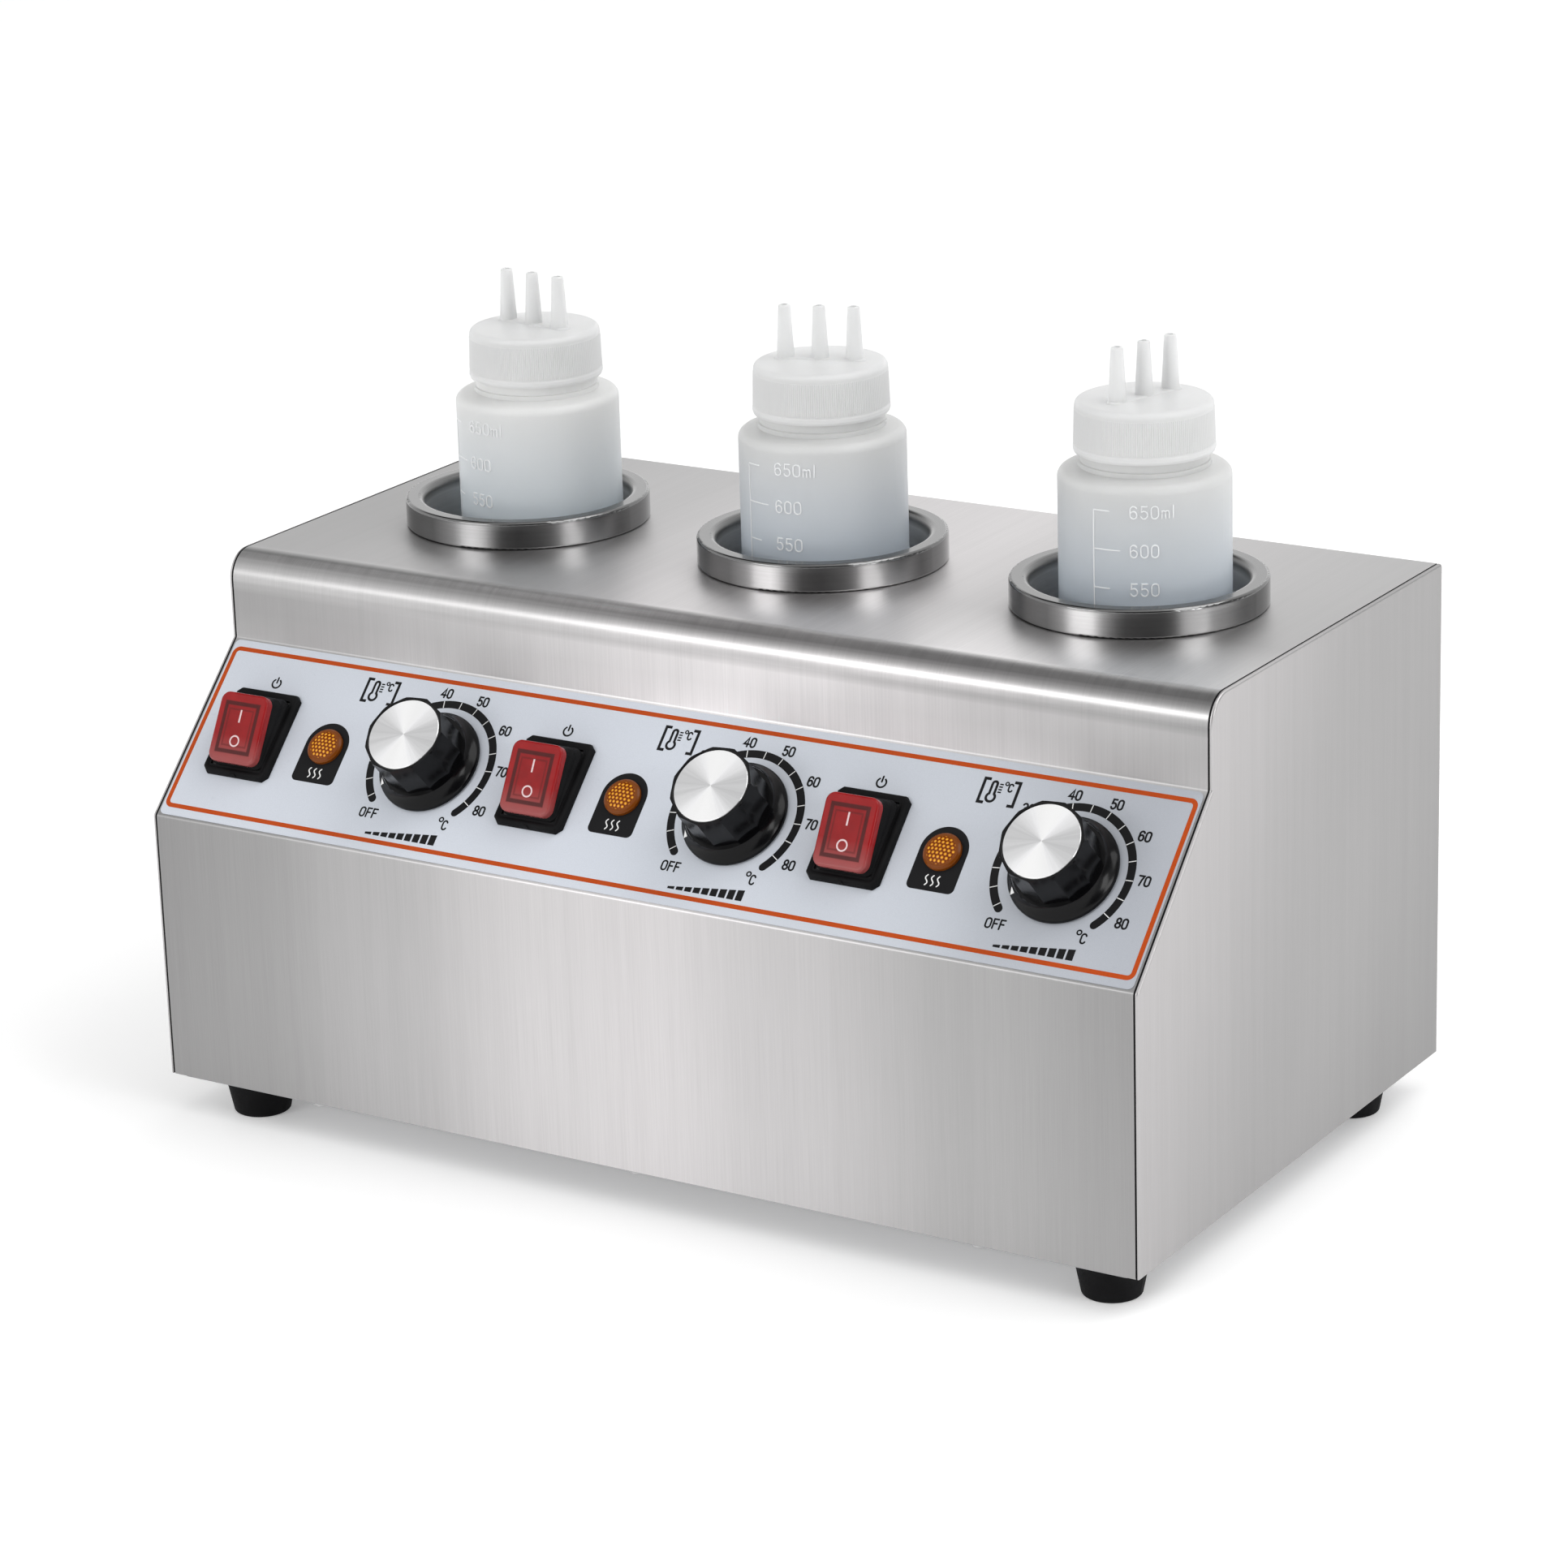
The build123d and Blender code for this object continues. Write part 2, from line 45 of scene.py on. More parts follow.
# ------------------------------------------------------------------ driving sizes, metres
MM = 0.001
S2 = math.sqrt(0.5)
Y0 = 0.133815                 # row y = case y - Y0
FOOT = 0.016                  # row z = case z + FOOT
FRONT_H = 0.1096
CASE_H = 0.2025
DIAL_X = (-104.0, 35.5, 175.0)
DIAL_V = 41.7
LAMP_DX, LAMP_V = -50.05, 40.9
SWITCH_DX, SWITCH_V = -85.5, 40.7
WELL_X = (-139.9, 0.0, 139.9)
WELL_Y = 154.0
BOTTLE_OFF = ((4.84, 2.98), (0.85, 0.52), (2.04, 1.26))
BOTTLE_R = 32.9
CAP_Z0, CAP_TOP_Z = 262.6, 282.2
TILT = math.radians(16.5)
PIVOT_W = 2.1
FILM = 0.30                   # thickness of the panel film


def at_panel(u, v, w):
    """Point on the sloped panel: u along x, v up the slope, w out of it, all in mm."""
    return Vector((u * MM, v * S2 * MM - w * S2 * MM - Y0, FRONT_H + FOOT + v * S2 * MM + w * S2 * MM))


def case(x, y, z):
    return Vector((x * MM, y * MM - Y0, z * MM + FOOT))


PANEL_X, PANEL_V, PANEL_W = Vector((1, 0, 0)), Vector((0, S2, S2)), Vector((0, -S2, S2))


# ------------------------------------------------------------------ mesh helpers
class Build:
    """Collects closed strips and prisms into one mesh."""

    def __init__(self):
        self.v, self.f = [], []

    def loft(self, rings, closed_ring=True, cap=True, closed_path=False):
        """Rings of equal length joined one after the other."""
        base = len(self.v)
        n = len(rings[0])
        for r in rings:
            self.v += [Vector(p) for p in r]
        m = len(rings)
        for k in range(m if closed_path else m - 1):
            a, b = base + k * n, base + ((k + 1) % m) * n
            for i in range(n if closed_ring else n - 1):
                j = (i + 1) % n
                self.f.append((a + i, a + j, b + j, b + i))
        if cap and not closed_path:
            self.f.append(tuple(base + i for i in reversed(range(n))))
            self.f.append(tuple(base + (m - 1) * n + i for i in range(n)))

    def prism(self, outline, place, z0, z1, bevel=0.0):
        """Flat plate with that 2-D outline between z0 and z1, its upper edge drawn in by bevel."""
        lo = [place(x, y, z0) for x, y in outline]
        if bevel:
            ins = inset(outline, bevel)
            rings = [lo, [place(x, y, z1 - bevel) for x, y in outline], [place(x, y, z1) for x, y in ins]]
        else:
            rings = [lo, [place(x, y, z1) for x, y in outline]]
        self.loft(rings)

    def ribbon(self, pts, width, place, z0, z1, closed=False, caps=True):
        """Flat line of that width along 2-D points, with round ends."""
        hw = width / 2
        pts = [Vector(p) for p in pts]
        n = len(pts)
        secs = []
        for i, p in enumerate(pts):
            if closed:
                a, b = pts[i - 1], pts[(i + 1) % n]
                d0, d1 = (p - a).normalized(), (b - p).normalized()
            else:
                d0 = (p - pts[i - 1]).normalized() if i else (pts[1] - p).normalized()
                d1 = (pts[i + 1] - p).normalized() if i < n - 1 else d0
            t = (d0 + d1)
            t = t.normalized() if t.length > 1e-6 else d1
            m = Vector((-t.y, t.x))
            k = 1.0 / max(0.5, m.dot(Vector((-d0.y, d0.x))))
            secs.append((p + m * hw * k, p - m * hw * k, t))
        if not closed and caps:
            p, t = pts[0], (pts[1] - pts[0]).normalized()
            m = Vector((-t.y, t.x))
            head = []
            for a in (84, 60, 30):
                c, s = math.cos(math.radians(a)), math.sin(math.radians(a))
                head.append((p - t * hw * s + m * hw * c, p - t * hw * s - m * hw * c, t))
            p, t = pts[-1], (pts[-1] - pts[-2]).normalized()
            m = Vector((-t.y, t.x))
            tail = []
            for a in (30, 60, 84):
                c, s = math.cos(math.radians(a)), math.sin(math.radians(a))
                tail.append((p + t * hw * s + m * hw * c, p + t * hw * s - m * hw * c, t))
            secs = head + secs + tail
        rings = [[place(l.x, l.y, z0), place(l.x, l.y, z1), place(r.x, r.y, z1), place(r.x, r.y, z0)] for l, r, _ in secs]
        self.loft(rings, cap=not closed, closed_path=closed)

    def make(self, name, mat, smooth=True, angle=35):
        me = bpy.data.meshes.new(name)
        me.from_pydata([tuple(p) for p in self.v], [], self.f)
        me.validate()
        bm = bmesh.new()
        bm.from_mesh(me)
        bmesh.ops.recalc_face_normals(bm, faces=bm.faces)
        bm.to_mesh(me)
        bm.free()
        if smooth:
            me.polygons.foreach_set("use_smooth", [True] * len(me.polygons))
            me.set_sharp_from_angle(angle=math.radians(angle))
        o = bpy.data.objects.new(name, me)
        SCENE.collection.objects.link(o)
        me.materials.append(mat)
        return o


def inset(outline, d):
    """The outline moved inwards by d. Points run anticlockwise or clockwise."""
    pts = [Vector(p) for p in outline]
    area = sum(pts[i - 1].x * p.y - p.x * pts[i - 1].y for i, p in enumerate(pts))
    s = 1 if area > 0 else -1
    out = []
    n = len(pts)
    for i, p in enumerate(pts):
        d0, d1 = (p - pts[i - 1]).normalized(), (pts[(i + 1) % n] - p).normalized()
        n0, n1 = Vector((-d0.y, d0.x)) * s, Vector((-d1.y, d1.x)) * s
        m = (n0 + n1).normalized()
        out.append(p + m * d / max(0.3, m.dot(n0)))
    return out


def rrect(w, h, r, n=6, cx=0.0, cy=0.0):
    pts = []
    for sx, sy, a0 in ((1, 1, 0), (-1, 1, 90), (-1, -1, 180), (1, -1, 270)):
        for k in range(n + 1):
            a = math.radians(a0 + 90 * k / n)
            pts.append((cx + sx * (w / 2 - r) + r * math.cos(a), cy + sy * (h / 2 - r) + r * math.sin(a)))
    return pts


def arc(cx, cy, r, a0, a1, n, ry=None):
    ry = r if ry is None else ry
    return [(cx + r * math.cos(math.radians(a0 + (a1 - a0) * k / n)), cy + ry * math.sin(math.radians(a0 + (a1 - a0) * k / n))) for k in range(n + 1)]


# stroke figures on a grid one high; each is a list of (closed, points), then its width
def glyph(c):
    if c in "0O":
        w = 0.50 if c == "0" else 0.54
        return [(True, arc(w / 2, 0.74, w / 2, 0, 180, 10, 0.26) + arc(w / 2, 0.26, w / 2, 180, 360, 10, 0.26))], w
    if c == "3":
        return [(False, arc(0.24, 0.76, 0.23, 160, -75, 10, 0.24) + arc(0.25, 0.265, 0.25, 75, -160, 12, 0.265))], 0.5
    if c == "4":
        return [(False, [(0.39, 0), (0.39, 1.0), (0.0, 0.27), (0.53, 0.27)])], 0.53
    if c == "5":
        return [(False, [(0.46, 1.0), (0.08, 1.0), (0.05, 0.56)] + arc(0.24, 0.31, 0.25, 125, -155, 14, 0.31))], 0.5
    if c == "6":
        return [(False, arc(0.25, 0.72, 0.24, 25, 180, 8, 0.28) + [(0.01, 0.45)] + arc(0.25, 0.3, 0.24, 180, 530, 18, 0.3))], 0.5
    if c == "7":
        return [(False, [(0.0, 1.0), (0.5, 1.0), (0.33, 0.55), (0.22, 0.0)])], 0.5
    if c == "8":
        return [(True, arc(0.25, 0.75, 0.21, -90, 250, 16, 0.25)), (True, arc(0.25, 0.25, 0.25, 90, 430, 18, 0.25))], 0.5
    if c == "F":
        return [(False, [(0.0, 0.0), (0.0, 1.0), (0.46, 1.0)]), (False, [(0.0, 0.53), (0.38, 0.53)])], 0.46
    if c == "C":
        return [(False, arc(0.25, 0.72, 0.25, 20, 180, 8, 0.28) + arc(0.25, 0.28, 0.25, 180, 340, 8, 0.28))], 0.5
    if c == "m":
        return [(False, [(0.0, 0.0), (0.0, 0.62)]), (False, [(0.0, 0.4)] + arc(0.13, 0.45, 0.13, 160, 0, 6, 0.17) + [(0.26, 0.0)]),
                (False, [(0.26, 0.4)] + arc(0.39, 0.45, 0.13, 160, 0, 6, 0.17) + [(0.52, 0.0)])], 0.52
    if c == "l":
        return [(False, [(0.05, 1.0), (0.05, 0.0)])], 0.12
    if c == "I":
        return [(False, [(0.0, 0.0), (0.0, 1.0)])], 0.0
    raise ValueError(c)


def words(build, text, height, stroke, place, z0, z1, cx, cy, slant=0.0, gap=0.26, left=False, narrow=1.0):
    """Stroke figures centred on (cx, cy), or starting there."""
    total = sum(glyph(c)[1] for c in text) + gap * (len(text) - 1)
    x = 0.0 if left else -total / 2
    for c in text:
        strokes, w = glyph(c)
        for closed, pts in strokes:
            q = []
            for px, py in pts:
                p = Vector((cx + (x + px + slant * (py - 0.5)) * height * narrow, cy + (py - 0.5) * height))
                if not q or (p - q[-1]).length > 0.02 * height:
                    q.append(p)
            if closed and (q[0] - q[-1]).length < 0.02 * height:
                q.pop()
            build.ribbon(q, stroke, place, z0, z1, closed=closed)
        x += w + gap
    return total * height * narrow


# ------------------------------------------------------------------ material helpers
class Mat:
    def __init__(self, name, base=(0.8, 0.8, 0.8), metallic=0.0, rough=0.5, **sockets):
        self.m = bpy.data.materials.new(name)
        self.m.use_nodes = True
        self.t = self.m.node_tree
        self.b = self.t.nodes["Principled BSDF"]
        self.set("Base Color", (*base, 1.0))
        self.set("Metallic", metallic)
        self.set("Roughness", rough)
        for k, v in sockets.items():
            self.set(k.replace("_", " "), v)
        self.base = base

    def set(self, socket, value):
        self.b.inputs[socket].default_value = value

    def node(self, kind, **props):
        n = self.t.nodes.new(kind)
        for k, v in props.items():
            setattr(n, k, v)
        return n

    def link(self, a, b):
        self.t.links.new(a, b)

    def coords(self, scale=(1, 1, 1), offset=(0, 0, 0), turn=(0, 0, 0)):
        tc = self.node("ShaderNodeTexCoord")
        mp = self.node("ShaderNodeMapping")
        mp.inputs["Scale"].default_value = scale
        mp.inputs["Location"].default_value = offset
        mp.inputs["Rotation"].default_value = turn
        self.link(tc.outputs["Object"], mp.inputs["Vector"])
        return mp.outputs["Vector"]

    def noise(self, scale, detail=3.0, rough=0.55, vector=None, dist=0.0):
        n = self.node("ShaderNodeTexNoise")
        n.inputs["Scale"].default_value = scale
        n.inputs["Detail"].default_value = detail
        n.inputs["Roughness"].default_value = rough
        n.inputs["Distortion"].default_value = dist
        self.link(vector if vector is not None else self.coords(), n.inputs["Vector"])
        return n.outputs["Fac"]

    def math(self, op, a, b=None, c=None, clamp=False):
        n = self.node("ShaderNodeMath", operation=op, use_clamp=clamp)
        for k, v in enumerate((a, b, c)):
            if v is None:
                continue
            if isinstance(v, (int, float)):
                n.inputs[k].default_value = v
            else:
                self.link(v, n.inputs[k])
        return n.outputs[0]

    def map(self, value, a, b, lo=0.0, hi=1.0):
        n = self.node("ShaderNodeMapRange")
        self.link(value, n.inputs["Value"])
        n.inputs["From Min"].default_value = lo
        n.inputs["From Max"].default_value = hi
        n.inputs["To Min"].default_value = a
        n.inputs["To Max"].default_value = b
        return n.outputs["Result"]

    def ramp(self, value, stops, interpolation="LINEAR"):
        n = self.node("ShaderNodeValToRGB")
        n.color_ramp.interpolation = interpolation
        e = n.color_ramp.elements
        while len(e) > 1:
            e.remove(e[-1])
        e[0].position, e[0].color = stops[0][0], (*stops[0][1], 1.0)
        for p, c in stops[1:]:
            x = e.new(p)
            x.color = (*c, 1.0)
        self.link(value, n.inputs["Fac"])
        return n.outputs["Color"]

    def mix(self, fac, a, b, mode="MIX"):
        n = self.node("ShaderNodeMix", data_type="RGBA", blend_type=mode)
        for sock, v in ((0, fac), (6, a), (7, b)):
            if isinstance(v, (int, float)):
                n.inputs[sock].default_value = v
            elif isinstance(v, tuple):
                n.inputs[sock].default_value = (*v, 1.0)
            else:
                self.link(v, n.inputs[sock])
        return n.outputs[2]

    def xyz(self, vector=None):
        n = self.node("ShaderNodeSeparateXYZ")
        self.link(vector if vector is not None else self.coords(), n.inputs[0])
        return n.outputs

    def color(self, out):
        self.link(out, self.b.inputs["Base Color"])

    def roughness(self, out):
        self.link(out, self.b.inputs["Roughness"])

    def bump(self, height, strength, distance=0.0002):
        n = self.node("ShaderNodeBump")
        n.inputs["Strength"].default_value = strength
        n.inputs["Distance"].default_value = distance
        self.link(height, n.inputs["Height"])
        self.link(n.outputs["Normal"], self.b.inputs["Normal"])
        return n

    def tangent_const(self, v):
        n = self.node("ShaderNodeCombineXYZ")
        for k in range(3):
            n.inputs[k].default_value = v[k]
        self.link(n.outputs[0], self.b.inputs["Tangent"])


roll = case(0, 58.0, 202.5)
PANEL_TOP_Z = case(0, 58.0, 167.6).z


def steel_sheet(name, base, rough, across, tangent, tone=None, aniso=0.75, grain=1.0, bend=None):
    """Brushed stainless sheet. across: how fine the grain is along x, y and z."""
    m = Mat(name, base, 1.0, rough, Anisotropic=aniso)
    v = m.coords(scale=across)
    fine = m.noise(1.0, 3.0, 0.6, v)
    wide = m.noise(1.0, 2.0, 0.5, m.coords(scale=tuple(a * 0.13 for a in across), offset=(3.1, 1.7, 0.4)))
    cloud = m.noise(9.0, 2.0, 0.5)
    f = m.math("ADD", m.map(fine, -0.055 * grain, 0.055 * grain, 0.25, 0.75), m.map(wide, -0.018 * grain, 0.018 * grain, 0.3, 0.7))
    f = m.math("ADD", f, m.map(cloud, 0.985, 1.015, 0.3, 0.7))
    col = m.mix(1.0, tuple(base), grey(m, f), "MULTIPLY")
    # painted light and reflection: the tone function, where one is given, multiplies the grain colour
    if tone is not None:
        col = m.mix(1.0, col, tone(m), "MULTIPLY")
    m.color(col)
    worn = m.map(fine, rough - 0.03, rough + 0.03, 0.3, 0.7)
    if bend:
        # the rolled edge is drawn smoother than the flat sheet
        s = m.xyz()
        near = m.math("MULTIPLY", m.map(s["Z"], 0.0, 1.0, *bend[0]), m.map(s["Y"], 1.0, 0.0, *bend[1]))
        worn = m.math("MULTIPLY", worn, m.math("SUBTRACT", 1.0, m.math("MULTIPLY", near, 0.14)))
        above = m.math("MULTIPLY", m.map(s["Z"], 0.0, 1.0, bend[2] - 0.004, bend[2] + 0.002), m.math("SUBTRACT", 1.0, near))
        above = m.math("MULTIPLY", above, m.map(s["Y"], 1.0, 0.0, bend[1][0] - 0.008, bend[1][0]))
        worn = m.math("ADD", worn, m.math("MULTIPLY", above, 0.2))
    m.roughness(worn)
    m.bump(m.math("MULTIPLY", fine, m.math("SUBTRACT", 1.0, m.math("MULTIPLY", near, 0.9))) if bend else fine, 0.05 * grain, 0.00006)
    m.tangent_const(tangent)
    return m


def grey(m, value):
    n = m.node("ShaderNodeCombineColor")
    for k in range(3):
        m.link(value, n.inputs[k])
    return n.outputs[0]


# ------------------------------------------------------------------ materials
def low_and_high(m, t):
    """A little more light towards the foot of the sheet."""
    z = m.map(m.xyz()["Z"], 1.10, 1.0, 0.02, 0.115)
    return m.mix(1.0, t, grey(m, z), "MULTIPLY")


def front_stock_tone_and_painted_reflection(m):
    """Slow change along the sheet: mostly a painted reflection of the room's light and shade, partly the uneven tone of
    rolled and brushed stock.
    """
    x = m.xyz()["X"]
    t = m.map(x, 0.0, 1.0, -0.22, 0.22)
    return low_and_high(m, m.ramp(t, [(0.0, (0.54, 0.54, 0.54)), (0.10, (0.60, 0.60, 0.60)), (0.25, (0.80, 0.797, 0.80)), (0.42, (1.10, 1.085, 1.09)), (0.52, (1.14, 1.12, 1.127)),
                                      (0.66, (0.97, 0.96, 0.965)), (0.85, (0.72, 0.72, 0.72)), (1.0, (0.60, 0.60, 0.60))], "EASE"))


def shell_painted_reflection(m):
    """Painted reflections on the shell: the front's, a flatter one on the lid, another on the upright band, and painted
    highlights and shade round the rolled edge.
    """
    p = m.xyz()
    t = m.map(p["X"], 0.0, 1.0, -0.22, 0.22)
    # painted reflection: the lid lighter and darker along its length
    lid = m.ramp(t, [(0.0, (0.70, 0.70, 0.70)), (0.25, (0.87, 0.867, 0.87)), (0.45, (1.12, 1.10, 1.107)), (0.60, (1.18, 1.16, 1.165)), (0.72, (0.98, 0.97, 0.973)), (0.8, (0.92, 0.912, 0.914)), (1.0, (0.80, 0.80, 0.80))], "EASE")
    # painted light: the lid lighter at its front right corner and just in front of the wells
    corner = m.math("MULTIPLY", m.map(p["X"], 0.0, 1.0, 0.02, 0.16), m.map(p["Y"], 1.0, 0.0, roll.y + 0.012, roll.y + 0.065))
    ahead = m.math("MULTIPLY", m.map(p["X"], 0.0, 1.0, -0.08, 0.0), m.map(p["Y"], 1.0, 0.0, roll.y + 0.020, roll.y + 0.060))
    lift = m.math("ADD", m.math("MULTIPLY", corner, 0.55), m.math("MULTIPLY", ahead, 0.07))
    lid = m.mix(1.0, lid, grey(m, m.math("ADD", 1.0, lift)), "MULTIPLY")
    # painted reflection: the upright band lighter towards its middle and near its foot, darker just under the roll
    band = m.ramp(t, [(0.0, (1.10, 1.10, 1.10)), (0.19, (1.27, 1.266, 1.268)), (0.28, (1.29, 1.284, 1.286)), (0.36, (1.42, 1.41, 1.413)), (0.46, (1.50, 1.481, 1.487)), (0.54, (1.61, 1.586, 1.593)),
                      (0.61, (1.59, 1.566, 1.573)), (0.70, (1.36, 1.341, 1.347)), (0.80, (1.16, 1.15, 1.154)), (0.90, (1.09, 1.085, 1.087)), (1.0, (1.00, 1.00, 1.00))], "EASE")
    height = m.map(p["Z"], 0.0, 1.0, PANEL_TOP_Z, roll.z - 0.0113)
    band = m.mix(1.0, band, m.ramp(height, [(0.0, (1.20, 1.20, 1.20)), (0.3, (1.08, 1.08, 1.08)), (0.5, (1.02, 1.02, 1.02)), (0.83, (1.0, 1.0, 1.0)), (0.88, (0.88, 0.88, 0.88)), (0.95, (0.70, 0.70, 0.70)), (1.0, (0.70, 0.70, 0.70))]), "MULTIPLY")
    # painted shade: the lower left of the band darker
    west = m.ramp(t, [(0.0, (0.68, 0.68, 0.68)), (0.134, (0.71, 0.71, 0.71)), (0.24, (0.845, 0.845, 0.845)), (0.40, (0.957, 0.957, 0.957)), (0.55, (1.0, 1.0, 1.0))])
    band = m.mix(m.map(height, 1.0, 0.0, 0.82, 0.95), band, m.mix(1.0, band, west, "MULTIPLY"))
    low = m.map(p["Z"], 0.0, 1.0, PANEL_TOP_Z - 0.003, PANEL_TOP_Z + 0.001)
    out = m.mix(low, front_stock_tone_and_painted_reflection(m), band)
    out = m.mix(m.map(p["Z"], 0.0, 1.0, roll.z - 0.005, roll.z - 0.0005), out, lid)
    # painted reflection round the rolled edge: a dark band, then a lighter one
    bend = m.math("ARCTAN2", m.math("SUBTRACT", roll.y + 0.0113, p["Y"]), m.math("SUBTRACT", p["Z"], roll.z - 0.0113))
    bend = m.map(bend, 0.0, 1.0, 0.0, math.pi / 2)
    play = m.ramp(bend, [(0.0, (1.0, 1.0, 1.0)), (0.09, (0.76, 0.76, 0.76)), (0.22, (0.84, 0.84, 0.84)), (0.34, (0.60, 0.60, 0.60)), (0.43, (0.34, 0.34, 0.34)), (0.52, (0.35, 0.35, 0.35)), (0.60, (0.53, 0.53, 0.53)),
                         (0.68, (0.78, 0.78, 0.78)), (0.75, (0.85, 0.85, 0.85)), (0.89, (0.82, 0.82, 0.82)), (0.96, (0.74, 0.74, 0.74)), (1.0, (0.68, 0.68, 0.68))])
    # the rolled edge's painted reflection darker at the left end, lighter right of the middle
    turned = m.ramp(t, [(0.0, (0.60, 0.60, 0.60)), (0.28, (0.73, 0.728, 0.73)), (0.53, (1.13, 1.115, 1.12)), (0.69, (1.28, 1.26, 1.265)), (0.92, (1.01, 1.005, 1.007)), (1.0, (0.96, 0.96, 0.96))], "EASE")
    turned = m.mix(m.map(p["Z"], 0.0, 1.0, roll.z - 0.005, roll.z - 0.0005), turned, lid)
    amount = m.math("MULTIPLY", m.map(p["X"], 0.35, 1.0, -0.20, 0.0), m.map(p["Z"], 0.0, 1.0, roll.z - 0.0120, roll.z - 0.0106))
    out = m.mix(amount, out, m.mix(1.0, turned, play, "MULTIPLY"))
    # painted highlight added on the left part of the rolled edge
    soft = m.ramp(bend, [(0.10, (0.0, 0.0, 0.0)), (0.20, (0.30, 0.30, 0.30)), (0.27, (1.4, 1.4, 1.4)), (0.33, (1.4, 1.4, 1.4)), (0.42, (0.50, 0.50, 0.50)), (0.52, (0.16, 0.16, 0.16)),
                         (0.63, (0.28, 0.28, 0.28)), (0.75, (0.06, 0.06, 0.06)), (0.88, (0.35, 0.35, 0.35)), (1.0, (0.35, 0.35, 0.35))])
    fades = m.ramp(t, [(0.0, (1.0, 1.0, 1.0)), (0.42, (1.0, 1.0, 1.0)), (0.575, (0.30, 0.30, 0.30)), (0.75, (0.10, 0.10, 0.10)), (1.0, (0.0, 0.0, 0.0))])
    soft = m.mix(1.0, soft, m.mix(1.0, fades, grey(m, m.map(p["Z"], 0.0, 1.0, roll.z - 0.0120, roll.z - 0.0106)), "MULTIPLY"), "MULTIPLY")
    return m.mix(1.0, out, m.mix(1.0, soft, (1.0, 1.0, 1.0), "ADD"), "MULTIPLY")


def side_painted_light(m):
    # painted light: the side panel lighter towards its top front, darker low and towards the back
    s = m.xyz()
    t = m.math("SUBTRACT", m.math("MULTIPLY", s["Z"], 0.9), m.math("MULTIPLY", s["Y"], 1.5))
    t = m.map(t, 0.0, 1.0, -0.17, 0.36)
    return m.ramp(t, [(0.0, (0.66, 0.66, 0.66)), (0.45, (0.75, 0.747, 0.748)), (1.0, (0.99, 0.975, 0.98))], "EASE")


mat_shell = steel_sheet("brushed_case", (0.532, 0.526, 0.526), 0.42, (1700, 22, 22), (1, 0, 0), shell_painted_reflection, 0.45, 1.0,
                        ((roll.z - 0.0145, roll.z - 0.0105), (roll.y + 0.0105, roll.y + 0.0145), PANEL_TOP_Z))
mat_side = steel_sheet("brushed_side", (0.525, 0.519, 0.519), 0.42, (22, 1700, 22), (0, 1, 0), side_painted_light, 0.45)
mat_rear = steel_sheet("brushed_rear", (0.55, 0.545, 0.545), 0.32, (1500, 9, 9), (1, 0, 0))
mat_base = steel_sheet("mill_sheet", (0.34, 0.34, 0.35), 0.42, (600, 12, 12), (1, 0, 0), None, 0.3, 1.4)


